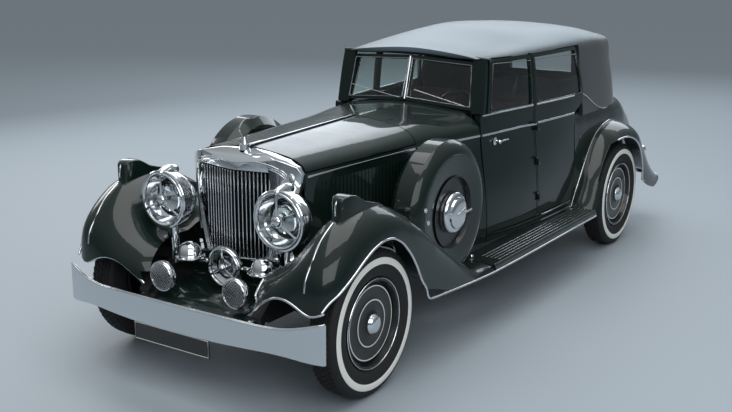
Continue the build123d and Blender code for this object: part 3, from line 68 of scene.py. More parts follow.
# finishes
def linearColour(hexValue, alpha=1.0):
    channels = [int(hexValue[i:i + 2], 16) / 255 for i in (1, 3, 5)]
    return [c / 12.92 if c <= 0.04045 else ((c + 0.055) / 1.055) ** 2.4 for c in channels] + [alpha]


def addNode(tree, kind, settings=None, links=None):
    # one node with its settings and what feeds it: {input: (node, output)}
    node = tree.nodes.new(kind)
    for key, value in (settings or {}).items():
        if isinstance(key, int) or key in node.inputs:
            node.inputs[key].default_value = value
        else:
            setattr(node, key, value)
    for key, (source, output) in (links or {}).items():
        tree.links.new(source.outputs[output], node.inputs[key])
    return node


def startMaterial(name, colour, **settings):
    material = bpy.data.materials.new(name)
    material.use_nodes = True
    tree = material.node_tree
    shader = tree.nodes["Principled BSDF"]
    shader.inputs["Base Color"].default_value = linearColour(colour)
    for key, value in settings.items():
        shader.inputs[key.replace("_", " ")].default_value = value
    place = addNode(tree, "ShaderNodeTexCoord")
    return material, tree, shader, place


def noiseBetween(tree, place, scale, low, high, detail=4.0):
    # noise in object space, mapped to a low and a high value
    noise = addNode(tree, "ShaderNodeTexNoise", {"Scale": scale, "Detail": detail},
        {"Vector": (place, "Object")})
    return addNode(tree, "ShaderNodeMapRange", {"From Min": 0.3, "From Max": 0.7, "To Min": low,
        "To Max": high}, {"Value": (noise, "Factor" if "Factor" in noise.outputs else "Fac")})


def mixColours(tree, factor, first, second):
    mix = addNode(tree, "ShaderNodeMix", {"data_type": "RGBA"})
    mix.inputs["A"].default_value = (0, 0, 0, 1)
    for socket, colour in ((mix.inputs[6], first), (mix.inputs[7], second)):
        socket.default_value = linearColour(colour)
    tree.links.new(factor[0].outputs[factor[1]], mix.inputs[0])
    return mix


def bumpFrom(tree, shader, source, output, strength, distance):
    bump = addNode(tree, "ShaderNodeBump", {"Strength": strength, "Distance": distance},
        {"Height": (source, output)})
    tree.links.new(bump.outputs["Normal"], shader.inputs["Normal"])
    return bump


def cellulosePaint():
    # deep bottle-green cellulose under clear lacquer, polished by hand
    material, tree, shader, place = startMaterial("cellulosePaint", "#0c1a16", Roughness=0.32, IOR=1.5)
    shader.inputs["Specular IOR Level"].default_value = 0.12
    shader.inputs["Coat Weight"].default_value = 1.0
    shader.inputs["Coat IOR"].default_value = 1.4
    shader.inputs["Coat Roughness"].default_value = 0.025
    fleck = noiseBetween(tree, place, 900.0, 0.0, 1.0, 2.0)   # pigment fleck of about 1 mm
    tone = mixColours(tree, (fleck, 0), "#0a1814", "#0f201b")
    tree.links.new(tone.outputs[2], shader.inputs["Base Color"])
    haze = noiseBetween(tree, place, 6.0, 0.26, 0.40)
    tree.links.new(haze.outputs[0], shader.inputs["Roughness"])
    return material


def chromePlate(name="chromePlate", rough=0.05):
    # bright chromium plate with the faint haze of polishing
    material, tree, shader, place = startMaterial(name, "#dfe2e4", Metallic=1.0)
    haze = noiseBetween(tree, place, 14.0, rough * 0.6, rough * 1.8)
    tree.links.new(haze.outputs[0], shader.inputs["Roughness"])
    return material


def plainEnamel(name, colour, rough=0.3, coat=0.6, grain=60.0, depth=0.00004):
    # sprayed enamel with a slight orange peel
    material, tree, shader, place = startMaterial(name, colour, Roughness=rough)
    shader.inputs["Coat Weight"].default_value = coat
    shader.inputs["Coat Roughness"].default_value = 0.05
    peel = addNode(tree, "ShaderNodeTexNoise", {"Scale": grain, "Detail": 3.0}, {"Vector": (place, "Object")})
    bumpFrom(tree, shader, peel, 0, 0.4, depth)
    dust = noiseBetween(tree, place, 9.0, rough * 0.85, rough * 1.25)
    tree.links.new(dust.outputs[0], shader.inputs["Roughness"])
    return material


def hoodDuck():
    # rubbered duck for the hood: close twill, threads drawn at 3 mm so they show
    material, tree, shader, place = startMaterial("hoodDuck", "#2c363b", Roughness=0.42)
    shader.inputs["Sheen Weight"].default_value = 0.25
    shader.inputs["Sheen Roughness"].default_value = 0.4
    shader.inputs["Coat Weight"].default_value = 0.12
    shader.inputs["Coat Roughness"].default_value = 0.3
    warp = addNode(tree, "ShaderNodeTexWave", {"Scale": 105.0, "bands_direction": "X", "Distortion": 0.4,
        "Detail": 1.0}, {"Vector": (place, "Object")})
    weft = addNode(tree, "ShaderNodeTexWave", {"Scale": 105.0, "bands_direction": "DIAGONAL",
        "Distortion": 0.4}, {"Vector": (place, "Object")})
    weave = addNode(tree, "ShaderNodeMath", {"operation": "MAXIMUM"})
    tree.links.new(warp.outputs[1], weave.inputs[0])
    tree.links.new(weft.outputs[1], weave.inputs[1])
    bumpFrom(tree, shader, weave, 0, 0.35, 0.0004)
    # painted sky reflection: the colour is painted paler on the roof above the header and dark on the quarters,
    # for light falling from above
    height = addNode(tree, "ShaderNodeSeparateXYZ", {}, {"Vector": (place, "Object")})
    fadeAndSkySheen = addNode(tree, "ShaderNodeMapRange", {"From Min": 1.462, "From Max": 1.500},
        {"Value": (height, "Z")})
    tone = mixColours(tree, (fadeAndSkySheen, 0), "#1d262b", "#5b6a74")
    tree.links.new(tone.outputs[2], shader.inputs["Base Color"])
    return material


def hideLeather():
    # waxed hide: pebble grain about 2 mm across, with creases in the bump
    material, tree, shader, place = startMaterial("hideLeather", "#4a2416", Roughness=0.42)
    pebble = addNode(tree, "ShaderNodeTexVoronoi", {"Scale": 420.0}, {"Vector": (place, "Object")})
    crease = addNode(tree, "ShaderNodeTexNoise", {"Scale": 22.0, "Detail": 6.0},
        {"Vector": (place, "Object")})
    height = addNode(tree, "ShaderNodeMath", {"operation": "ADD"})
    tree.links.new(pebble.outputs[0], height.inputs[0])
    tree.links.new(crease.outputs[0], height.inputs[1])
    bumpFrom(tree, shader, height, 0, 0.5, 0.0006)
    worn = noiseBetween(tree, place, 7.0, 0.0, 1.0)
    tone = mixColours(tree, (worn, 0), "#3a1b10", "#5a2e1c")
    tree.links.new(tone.outputs[2], shader.inputs["Base Color"])
    return material


def rubber(name, colour, rough, scale=260.0, depth=0.0004):
    material, tree, shader, place = startMaterial(name, colour, Roughness=rough)
    grain = addNode(tree, "ShaderNodeTexNoise", {"Scale": scale, "Detail": 5.0},
        {"Vector": (place, "Object")})
    bumpFrom(tree, shader, grain, 0, 0.3, depth)
    dust = noiseBetween(tree, place, 5.0, rough - 0.08, rough + 0.08)
    tree.links.new(dust.outputs[0], shader.inputs["Roughness"])
    return material


def windowGlass(name="plateGlass", tint="#e6efec", bending=1.45):
    # polished plate glass, faintly green
    material, tree, shader, place = startMaterial(name, tint, Roughness=0.0, IOR=bending)
    shader.inputs["Transmission Weight"].default_value = 1.0
    wave = addNode(tree, "ShaderNodeTexNoise", {"Scale": 3.0, "Detail": 1.0}, {"Vector": (place, "Object")})
    bumpFrom(tree, shader, wave, 0, 0.05, 0.0004)
    return material


def figuredWalnut():
    # varnished walnut, grain along the board
    material, tree, shader, place = startMaterial("figuredWalnut", "#4b2a16", Roughness=0.28)
    shader.inputs["Coat Weight"].default_value = 0.8
    stretch = addNode(tree, "ShaderNodeMapping", {"Scale": (1.2, 9.0, 9.0)}, {"Vector": (place, "Object")})
    grain = addNode(tree, "ShaderNodeTexNoise", {"Scale": 6.0, "Detail": 8.0, "Distortion": 1.2},
        {"Vector": (stretch, 0)})
    contrast = addNode(tree, "ShaderNodeMapRange", {"From Min": 0.35, "From Max": 0.65},
        {"Value": (grain, 0)})
    tone = mixColours(tree, (contrast, 0), "#2c160b", "#6b4022")
    tree.links.new(tone.outputs[2], shader.inputs["Base Color"])
    return material


def woolCarpet():
    # cut wool pile, tufts drawn at 4 mm
    material, tree, shader, place = startMaterial("woolCarpet", "#231914", Roughness=0.95)
    shader.inputs["Sheen Weight"].default_value = 0.5
    tufts = addNode(tree, "ShaderNodeTexVoronoi", {"Scale": 250.0}, {"Vector": (place, "Object")})
    bumpFrom(tree, shader, tufts, 0, 0.8, 0.002)
    fadeAndSkySheen = noiseBetween(tree, place, 8.0, 0.0, 1.0)
    tone = mixColours(tree, (fadeAndSkySheen, 0), "#1c130f", "#2e221b")
    tree.links.new(tone.outputs[2], shader.inputs["Base Color"])
    return material


paint = cellulosePaint()
chrome = chromePlate()
dullPlate = chromePlate("brushedPlate", 0.16)
blackEnamel = plainEnamel("blackEnamel", "#060707", 0.35, 0.35)
chassisBlack = plainEnamel("chassisBlack", "#121212", 0.5, 0.1, 120.0, 0.0002)
# white enamel for pin lines and plate borders, also used for the painted highlight ring on the wheel discs
stripeAndHighlightWhite = plainEnamel("pinLineEnamel", "#d9d9d2", 0.35, 0.5)
castGrey = plainEnamel("castIronPaint", "#2d322f", 0.55, 0.2, 180.0, 0.0006)
hoodCloth = hoodDuck()
leather = hideLeather()
tyreRubber = rubber("tyreRubber", "#141413", 0.72)
whiteRubber = rubber("whiteSidewall", "#e9e7e0", 0.5, 90.0, 0.0002)
glass = windowGlass()
walnut = figuredWalnut()
carpet = woolCarpet()
silverReflector = chromePlate("silveredReflector", 0.09)
rubyLens = windowGlass("rubyLens", "#b3140f")
lampGlass = windowGlass("lampGlass", "#fbfcfc", 1.12)
darkMirror = chromePlate("smokedReflector", 0.25)
darkMirror.node_tree.nodes["Principled BSDF"].inputs["Base Color"].default_value = linearColour("#3a3d40")
plateBlack = plainEnamel("plateEnamel", "#151515", 0.35, 0.4)


# ways of making a piece
def only(piece):
    if bpy.context.object and bpy.context.object.mode != "OBJECT":
        bpy.ops.object.mode_set(mode="OBJECT")
    bpy.ops.object.select_all(action="DESELECT")
    piece.select_set(True)
    bpy.context.view_layer.objects.active = piece


def applyModifiers(piece):
    only(piece)
    for modifier in list(piece.modifiers):
        bpy.ops.object.modifier_apply(modifier=modifier.name)


def settle(piece, name, body, material, angle=35):
    # place goes into the mesh, then shading, finish and the body it rides on
    only(piece)
    bpy.ops.object.transform_apply(location=True, rotation=True, scale=True)
    if angle:
        bpy.ops.object.shade_smooth_by_angle(angle=math.radians(angle))
    piece.name = piece.data.name = name
    for index, finish in enumerate([material] if isinstance(material, bpy.types.Material) else material):
        if index < len(piece.data.materials):
            piece.data.materials[index] = finish
        else:
            piece.data.materials.append(finish)
    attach(piece, body)
    return piece


def smoothCopy(node, body, material, angle=32, bevel=0.0):
    # the solid's own shape with shared corners, smooth shading and, where asked, eased edges
    only(nodes[node])
    bpy.ops.object.duplicate()
    piece = bpy.context.object
    bpy.ops.object.parent_clear(type="CLEAR_KEEP_TRANSFORM")
    bpy.ops.object.mode_set(mode="EDIT")
    bpy.ops.mesh.select_all(action="SELECT")
    bpy.ops.mesh.remove_doubles(threshold=0.00002)
    bpy.ops.mesh.customdata_custom_splitnormals_clear()
    if bevel:
        bpy.ops.mesh.dissolve_limited(angle_limit=math.radians(1.5))
    bpy.ops.object.mode_set(mode="OBJECT")
    if bevel:
        ease = piece.modifiers.new("ease", "BEVEL")
        ease.width = bevel
        ease.segments = 3
        ease.limit_method = "ANGLE"
        ease.angle_limit = math.radians(35)
        applyModifiers(piece)
    piece.data.materials.clear()
    settle(piece, "panel_" + node, body, material, angle)
    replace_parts(piece, node)
    return piece


def turned(name, rings, place, facing, body, material, segments=64, angle=35):
    # each ring (radius, height along the facing way) is extruded from the one before
    bpy.ops.object.select_all(action="DESELECT")
    bpy.ops.mesh.primitive_circle_add(vertices=segments, radius=max(rings[0][0], 0.00001),
        location=(0, 0, rings[0][1]))
    piece = bpy.context.object
    bpy.ops.object.transform_apply(location=True)
    bpy.ops.object.mode_set(mode="EDIT")
    bpy.ops.mesh.select_mode(type="EDGE")
    bpy.ops.mesh.select_all(action="SELECT")
    for (radius, height), (nextRadius, nextHeight) in zip(rings, rings[1:]):
        grow = max(nextRadius, 0.00001) / max(radius, 0.00001)
        bpy.ops.mesh.extrude_edges_move(TRANSFORM_OT_translate={"value": (0, 0, nextHeight - height)})
        bpy.ops.transform.resize(value=(grow, grow, 1), center_override=(0, 0, nextHeight))
    bpy.ops.mesh.select_all(action="SELECT")
    bpy.ops.mesh.remove_doubles(threshold=0.00004)
    bpy.ops.mesh.normals_make_consistent(inside=False)
    bpy.ops.object.mode_set(mode="OBJECT")
    piece.matrix_world = Matrix.Translation(Vector(place)) @ Vector(facing).to_track_quat("Z",
        "Y").to_matrix().to_4x4()
    return settle(piece, name, body, material, angle)


def copied(piece, name, body, move):
    # a copy with its own mesh, moved, turned or mirrored
    only(piece)
    bpy.ops.object.duplicate()
    twin = bpy.context.object
    bpy.ops.object.parent_clear(type="CLEAR_KEEP_TRANSFORM")
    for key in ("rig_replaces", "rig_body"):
        if key in twin:
            del twin[key]
    twin.matrix_world = move @ twin.matrix_world
    bpy.ops.object.transform_apply(location=True, rotation=True, scale=True)
    if move.determinant() < 0:
        bpy.ops.object.mode_set(mode="EDIT")
        bpy.ops.mesh.select_all(action="SELECT")
        bpy.ops.mesh.flip_normals()
        bpy.ops.object.mode_set(mode="OBJECT")
    twin.name = twin.data.name = name
    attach(twin, body)
    return twin


acrossCar = Matrix.Scale(-1, 4, (1, 0, 0))


def bead(name, points, radius, body="car", material=None, closed=False, flat=0.0, tilt=0.0, sides=3,
        smooth=12, corners="AUTO"):
    # bright moulding swept through the points; flat gives a strip of that width, VECTOR corners keep it straight
    bpy.ops.object.select_all(action="DESELECT")
    bpy.ops.curve.primitive_bezier_curve_add()
    line = bpy.context.object
    line.data.splines.clear()
    spline = line.data.splines.new("BEZIER")
    spline.bezier_points.add(len(points) - 1)
    for knot, point in zip(spline.bezier_points, points):
        knot.co = point
        knot.handle_left_type = knot.handle_right_type = corners
        knot.tilt = tilt
    spline.use_cyclic_u = closed
    line.data.resolution_u = smooth
    line.data.twist_mode = "Z_UP"
    line.data.bevel_depth = radius
    line.data.bevel_resolution = sides
    line.data.extrude = flat / 2
    line.data.use_fill_caps = True
    bpy.ops.object.convert(target="MESH")
    piece = bpy.context.object
    bpy.ops.object.mode_set(mode="EDIT")
    bpy.ops.mesh.select_all(action="SELECT")
    bpy.ops.mesh.remove_doubles(threshold=0.00001)
    bpy.ops.mesh.normals_make_consistent(inside=False)
    bpy.ops.object.mode_set(mode="OBJECT")
    return settle(piece, name, body, material or chrome, 40)


def blockPiece(name, low, high, body, material, ease=0.003, angle=35):
    # a box with eased edges between two corners
    bpy.ops.object.select_all(action="DESELECT")
    middle = [(a + b) / 2 for a, b in zip(low, high)]
    bpy.ops.mesh.primitive_cube_add(size=1, location=middle)
    piece = bpy.context.object
    piece.scale = [b - a for a, b in zip(low, high)]
    bpy.ops.object.transform_apply(location=True, rotation=True, scale=True)
    bpy.ops.object.mode_set(mode="EDIT")
    bpy.ops.mesh.select_all(action="SELECT")
    bpy.ops.mesh.bevel(offset=ease, segments=3, affect="EDGES")
    bpy.ops.object.mode_set(mode="OBJECT")
    return settle(piece, name, body, material, angle)


# panels carried over from the solids, with their own finishes
panels = {"car": {"body_sides": paint, "bonnet_sides": paint, "front_apron": paint, "front_wing_left": paint,
    "front_wing_right": paint, "rear_body": paint, "rear_wing_left": paint, "rear_wing_right": paint,
    "scuttle": paint, "spare_covers": paint, "hood": hoodCloth, "bonnet_hinge": chrome,
    "running_boards": paint, "front_bumper": chrome, "rear_bumper": chrome, "windscreen_frame": paint,
    "windscreen_glass": glass, "floor_pan": carpet, "dashboard": walnut, "engine_block": castGrey,
    "chassis_frame": chassisBlack, "front_axle": chassisBlack, "rear_axle": chassisBlack,
    "springs": chassisBlack, "number_plates": plateBlack, "tail_lamps": chrome, "lamp_posts": chrome,
    "radiator_cap": chrome, "front_seats": leather, "rear_seat": leather,},
    "door_front_left": {"door_front_left": paint, "window_front_left": glass},
    "door_front_right": {"door_front_right": paint, "window_front_right": glass},
    "door_rear_left": {"door_rear_left": paint, "window_rear_left": glass},
    "door_rear_right": {"door_rear_right": paint, "window_rear_right": glass},
    "bonnet_left": {"bonnet_top_left": paint}, "bonnet_right": {"bonnet_top_right": paint},
    "boot_lid": {"boot_lid": paint}, "knuckle_left": {"knuckle_left": chassisBlack},
    "knuckle_right": {"knuckle_right": chassisBlack}, "steering_wheel": {"steering_wheel": blackEnamel},
    "wheel_front_left": {"tyre_front_left": tyreRubber, "wheel_front_left": blackEnamel},
    "wheel_front_right": {"tyre_front_right": tyreRubber, "wheel_front_right": blackEnamel},
    "wheel_rear_left": {"tyre_rear_left": tyreRubber, "wheel_rear_left": blackEnamel},
    "wheel_rear_right": {"tyre_rear_right": tyreRubber, "wheel_rear_right": blackEnamel},}
for body, finishes in panels.items():
    for node, finish in finishes.items():
        smoothCopy(node, body, finish)
print("panels carried over")


def edgeBead(name, panel, keep, rank, radius, body="car", ease=3):
    # bead along the panel's own sharp edge: keep picks the region, rank the run with the highest value
    only(bpy.data.objects["panel_" + panel])
    bpy.ops.object.duplicate()
    piece = bpy.context.object
    bpy.ops.object.mode_set(mode="EDIT")
    bpy.ops.mesh.select_mode(type="EDGE")
    bpy.ops.mesh.select_all(action="DESELECT")
    bpy.ops.mesh.edges_select_sharp(sharpness=math.radians(38))
    bpy.ops.object.mode_set(mode="OBJECT")
    mesh = piece.data
    chosen = [edge.select and all(keep(mesh.vertices[v].co) for v in edge.vertices) for edge in mesh.edges]
    for group in (mesh.polygons, mesh.vertices, mesh.edges):
        group.foreach_set("select", [False] * len(group))
    mesh.edges.foreach_set("select", chosen)
    for edge, wanted in zip(mesh.edges, chosen):
        if wanted:
            for v in edge.vertices:
                mesh.vertices[v].select = True
    bpy.ops.object.mode_set(mode="EDIT")
    bpy.ops.mesh.select_all(action="INVERT")
    bpy.ops.mesh.delete(type="EDGE")
    bpy.ops.mesh.select_all(action="SELECT")
    bpy.ops.mesh.delete(type="ONLY_FACE")
    bpy.ops.object.mode_set(mode="OBJECT")
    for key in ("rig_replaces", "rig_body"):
        if key in piece:
            del piece[key]
    bpy.ops.object.convert(target="CURVE")
    piece = bpy.context.object
    runs = [s for s in piece.data.splines if len(s.points) > 3]
    best = max(runs, key=lambda s: rank([p.co for p in s.points]))
    for run in list(piece.data.splines):
        if run != best:
            piece.data.splines.remove(run)
    bpy.ops.object.mode_set(mode="EDIT")
    bpy.ops.curve.select_all(action="SELECT")
    for _ in range(ease):
        bpy.ops.curve.smooth()
    bpy.ops.object.mode_set(mode="OBJECT")
    piece.data.bevel_depth = radius
    piece.data.bevel_resolution = 3
    piece.data.use_fill_caps = True
    bpy.ops.object.convert(target="MESH")
    piece = bpy.context.object
    piece.data.materials.clear()
    bpy.ops.object.mode_set(mode="EDIT")
    bpy.ops.mesh.select_all(action="SELECT")
    bpy.ops.mesh.normals_make_consistent(inside=False)
    bpy.ops.object.mode_set(mode="OBJECT")
    return settle(piece, name, body, chrome, 40)


def hug(panel, points, lift=0.0):
    # the points drawn onto a panel's surface
    target = bpy.data.objects["panel_" + panel]
    drawn = []
    for point in points:
        place, normal = target.closest_point_on_mesh(Vector(point))[1:3]
        drawn.append(place + normal * lift)
    return drawn


def along(values, count):
    # evenly spaced points down a run of points
    lengths = [0.0]
    for first, second in zip(values, values[1:]):
        lengths.append(lengths[-1] + (Vector(second) - Vector(first)).length)
    spread = []
    for step in range(count):
        at = lengths[-1] * step / (count - 1)
        index = min(sum(1 for length in lengths[1:] if length < at), len(values) - 2)
        share = (at - lengths[index]) / (lengths[index + 1] - lengths[index])
        spread.append(Vector(values[index]).lerp(Vector(values[index + 1]), share))
    return spread


def joined(name, pieces):
    # several pieces of one finish made one object
    bpy.ops.object.select_all(action="DESELECT")
    for piece in pieces:
        piece.select_set(True)
    bpy.context.view_layer.objects.active = pieces[0]
    bpy.ops.object.join()
    pieces[0].name = pieces[0].data.name = name
    return pieces[0]


# wheels: black rubber with a white band, black discs with a pin line, a painted highlight ring where light
# catches the disc's step edge, and a bright hub cap
wheelSet = {"rubber": tyreRubber, "band": whiteRubber, "disc": blackEnamel, "pinLine": stripeAndHighlightWhite,
    "hubCap": chrome, "bandFrom": 0.2925, "bandTo": 0.3265, "treadBlocks": 72, "pinStripeAndHighlightRadii": (0.183, 0.115)}
halfTyre = [(0.2265, 0.052), (0.2300, 0.0600), (0.2450, 0.0690), (0.2650, 0.0738), (0.2920, 0.0752),
    (0.3280, 0.0738), (0.3400, 0.0705), (0.3500, 0.0655), (0.3570, 0.0585), (0.3605, 0.0500),
    (0.3622, 0.0250)]
corners = {"front_left": (1, frontAxle), "front_right": (-1, frontAxle), "rear_left": (1, rearAxle),
    "rear_right": (-1, rearAxle)}
for corner, (side, axleY) in corners.items():
    title = corner.title().replace("_", "")
    body = "wheel_" + corner
    hub, out = (side * wheelOut, axleY, axleHeight), (side, 0, 0)
    bpy.data.objects.remove(bpy.data.objects["panel_tyre_" + corner])
    rings = halfTyre + [(0.3625, 0)] + [(r, -h) for r, h in halfTyre[::-1]] + [halfTyre[0]]
    carcass = turned("tyre" + title, rings, hub, out, body, wheelSet["rubber"], 128, 60)
    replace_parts(carcass, "tyre_" + corner)
    low, high = wheelSet["bandFrom"], wheelSet["bandTo"]
    turned("whiteBand" + title, [(low, 0.0735), (low + 0.0008, 0.0766), (low + 0.004, 0.0773),
        (high - 0.005, 0.0768), (high - 0.0006, 0.0752), (high, 0.0722), (low, 0.0735)], hub, out, body,
        wheelSet["band"], 128, 60)
    blocks = []
    for across, width, stagger in ((0.0, 0.020, 0.0), (0.0245, 0.018, 0.5), (-0.0245, 0.018, 0.5),
            (0.0462, 0.0150, 0.1), (-0.0462, 0.0150, 0.1)):
        step = 2 * math.pi / wheelSet["treadBlocks"]
        long = step * 0.366 * 0.78
        angle = stagger * step
        reach = 0.3640 - abs(across) * 0.06
        blocks.append(blockPiece("tread", (-width / 2, -long / 2, -0.004), (width / 2, long / 2, 0.0035),
            body, wheelSet["rubber"], 0.0012, 35))
        blocks[-1].data.transform(Matrix.Translation((side * (wheelOut + across), axleY, axleHeight))
                                  @ Matrix.Rotation(angle, 4, "X") @ Matrix.Translation((0, 0, reach))
                                  @ Matrix.Rotation(math.radians(14 if stagger else 0), 4, "Z"))
    tread = joined("tread" + title, blocks)
    bpy.ops.object.mode_set(mode="EDIT")
    bpy.ops.mesh.select_all(action="SELECT")
    bpy.ops.mesh.spin(steps=wheelSet["treadBlocks"] - 1, dupli=True,
        center=(side * wheelOut, axleY, axleHeight), axis=(1, 0, 0),
        angle=2 * math.pi * (1 - 1 / wheelSet["treadBlocks"]))
    bpy.ops.object.mode_set(mode="OBJECT")
    turned("disc" + title, [(0.2262, 0.056), (0.2262, 0.0640), (0.2235, 0.0668), (0.2205, 0.0650),
        (0.2190, 0.0560), (0.2120, 0.0400), (0.2060, 0.0330), (0.1980, 0.0335), (0.1900, 0.0420),
        (0.1850, 0.0450), (0.1800, 0.0452), (0.1720, 0.0440), (0.1300, 0.0440), (0.1220, 0.0450),
        (0.1160, 0.0480), (0.1120, 0.0484), (0.1060, 0.0478), (0.0700, 0.0490), (0.0600, 0.0520),
        (0.0540, 0.0560), (0.0540, 0.030), (0.2000, 0.024), (0.2262, 0.056)], hub, out, body,
        wheelSet["disc"], 96, 40)
    turned("hubCap" + title, [(0.0, 0.050), (0.0515, 0.050), (0.0525, 0.0600), (0.0510, 0.0640),
        (0.0475, 0.0665), (0.0440, 0.0740), (0.0360, 0.0800), (0.0220, 0.0835), (0.0, 0.0845)], hub, out,
        body, wheelSet["hubCap"], 64, 40)
    # ring 1 at 183 mm is a painted highlight on the disc's step edge; ring 2 at 115 mm is a real pin line
    for order, radius in enumerate(wheelSet["pinStripeAndHighlightRadii"]):
        face = 0.0451 if order == 0 else 0.0481
        turned(f"pinLine{order + 1}{title}", [(radius - 0.0028, face - 0.001),
            (radius - 0.0028, face + 0.0006), (radius + 0.0028, face + 0.0006),
            (radius + 0.0028, face - 0.001), (radius - 0.0028, face - 0.001)], hub, out, body,
            wheelSet["pinLine"], 96, 40)
    turned("rimEdge" + title, [(0.2268, 0.0630), (0.2262, 0.0662), (0.2238, 0.0680), (0.2212, 0.0668),
        (0.2205, 0.0640), (0.2268, 0.0630)], hub, out, body, dullPlate, 96, 60)
print("wheels made")

# bright beads along the wings' edges, piping and crest ribs
wingTrim = {"beadRadius": 0.0062, "pipingRadius": 0.0045}
meanOf = lambda places, axis: sum(p[axis] for p in places) / len(places)
spanOf = lambda places: sum((Vector(a[:3]) - Vector(b[:3])).length for a, b in zip(places, places[1:]))
archRun = [(-2.160, 0.566), (-2.093, 0.628), (-2.007, 0.684), (-1.903, 0.744), (-1.821, 0.778),
    (-1.707, 0.792), (-1.622, 0.766), (-1.529, 0.689), (-1.461, 0.603), (-1.401, 0.504), (-1.362, 0.432)]
skirtRun = [(-1.338, 0.401), (-1.312, 0.386), (-1.280, 0.381), (-1.150, 0.371), (-0.980, 0.358),
    (-0.780, 0.346), (-0.587, 0.338)]
pipingRun = [(0.900, 0.372), (0.955, 0.455), (1.020, 0.575), (1.096, 0.694), (1.160, 0.764), (1.236, 0.818),
    (1.330, 0.858), (1.450, 0.884), (1.550, 0.890), (1.640, 0.876), (1.720, 0.842), (1.800, 0.784),
    (1.866, 0.720)]
ribRun = [(-1.960, 0.905), (-2.010, 0.880), (-2.066, 0.820), (-2.120, 0.750), (-2.166, 0.690),
    (-2.184, 0.630)]
for side, word in ((1, "left"), (-1, "right")):
    label = word.title()
    front, rearWing = "front_wing_" + word, "rear_wing_" + word
    edgeBead("frontEdgeBead" + label, front,
             lambda v, s=side: 0.24 < s * v[0] < 0.8385 and v[1] < frontAxle - 0.30 and v[2] < 0.60,
             lambda run: spanOf(run) - 40 * meanOf(run, 1), wingTrim["beadRadius"])
    arch = hug(front, [(side * 0.838, y, z) for y, z in archRun])
    bottom = [Vector((side * 0.8385, y, z)) for y, z in skirtRun]
    bead("frontArchBead" + label, [Vector((side * 0.781, -2.172, 0.553))] + arch + bottom
        + [Vector((side * 0.8395, 0.886, 0.338))], wingTrim["beadRadius"])
    edgeBead("rearArchBead" + label, rearWing, lambda v,
        s=side: s * v[0] > 0.80 and v[2] < 0.81 and v[1] < 1.815, lambda run,
        s=side: spanOf(run) + 40 * s * meanOf(run, 0), wingTrim["beadRadius"])
    bead("rearWingPiping" + label, hug(rearWing, [(side * 0.648, y, z) for y, z in pipingRun], 0.002),
        wingTrim["pipingRadius"])
    bead("crestRib" + label, hug(front, [(side * 0.692, y, z) for y, z in ribRun], 0.001), 0.0045, flat=0.007)
edgeBead("apronBead", "front_apron", lambda v: abs(v[0]) < 0.30,
    lambda run: spanOf(run) - 60 * meanOf(run, 1), wingTrim["beadRadius"])
print("wing beads made")

# radiator: rounded shell with fluted mouldings, thin slats over a black core, plain cap
radiatorPlan = [(0.0, 0.112), (0.188, 0.070), (0.262, 0.056)]


def noseAt(x, behind=0.0):
    # V-shaped front of the radiator at a distance from the middle
    x = abs(x)
    for (x0, y0), (x1, y1) in zip(radiatorPlan, radiatorPlan[1:]):
        if x <= x1:
            return frontAxle - (y0 + (y1 - y0) * (x - x0) / (x1 - x0)) + behind
    return frontAxle - radiatorPlan[-1][1] + behind
radiatorSet = {"slats": 24, "pitch": 0.0212, "slatWidth": 0.0062, "slatDepth": 0.020, "slatTop": 1.040,
    "slatFoot": 0.592, "flutes": (0.0, 0.009, 0.018), "fluteRadius": 0.0030, "shell": chrome, "slat": chrome,
    "core": chassisBlack}
smoothCopy("radiator_shell", "car", radiatorSet["shell"], 30, 0.010)
core = []
for side in (1, -1):
    reach = 0.262
    near, far = noseAt(0.0, 0.026), noseAt(reach, 0.026)
    half = blockPiece("coreHalf", (0, 0, 0.575), (math.hypot(reach, far - near), 0.004, 1.055), "car",
        radiatorSet["core"], 0.0005, 35)
    half.data.transform(Matrix.Translation((0, near, 0))
        @ Matrix.Rotation(math.atan2(far - near, reach), 4, "Z"))
    if side < 0:
        half = copied(half, "coreHalfRight", "car", acrossCar)
    core.append(half)
joined("radiatorCore", core)
slats = []
for index in range(radiatorSet["slats"]):
    x = (index - (radiatorSet["slats"] - 1) / 2) * radiatorSet["pitch"]
    foot = radiatorSet["slatFoot"] if abs(x) < 0.184 else 0.600 + (abs(x) - 0.184) / 0.075 * 0.446
    if foot > radiatorSet["slatTop"] - 0.02:
        continue
    y = noseAt(x, 0.001)
    slats.append(blockPiece("slat", (x - radiatorSet["slatWidth"] / 2, y, foot),
        (x + radiatorSet["slatWidth"] / 2, y + radiatorSet["slatDepth"], radiatorSet["slatTop"]), "car",
        radiatorSet["slat"], 0.0026, 35))
grille = joined("radiatorSlats", slats)
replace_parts(grille, "radiator_grille")
for order, step in enumerate(radiatorSet["flutes"]):
    half = [(0.214 - step, 0.590), (0.262 - step, 0.780), (0.306 - step, 0.985),
        (0.311 - step, 1.020 - step * 0.3), (0.292 - step, 1.050 - step * 0.8),
        (0.245 - step * 0.5, 1.072 - step), (0.140, 1.094 - step), (0.0, 1.106 - step)]
    run = half + [(-x, z) for x, z in half[-2::-1]]
    bead(f"radiatorFlute{order + 1}", hug("radiator_shell", [(x, noseAt(x, -0.004), z) for x, z in run]),
        radiatorSet["fluteRadius"])

# lamps: spun shells with stepped rims, silvered reflectors and clear fronts
lampSet = {"shell": chrome, "rim": chrome, "reflector": silverReflector, "front": lampGlass, "bars": chrome,
    "headlampAt": (0.373, -1.956, 0.862), "centreAt": (0.0, -1.928, 0.560), "fogAt": (0.236, -2.126, 0.524)}


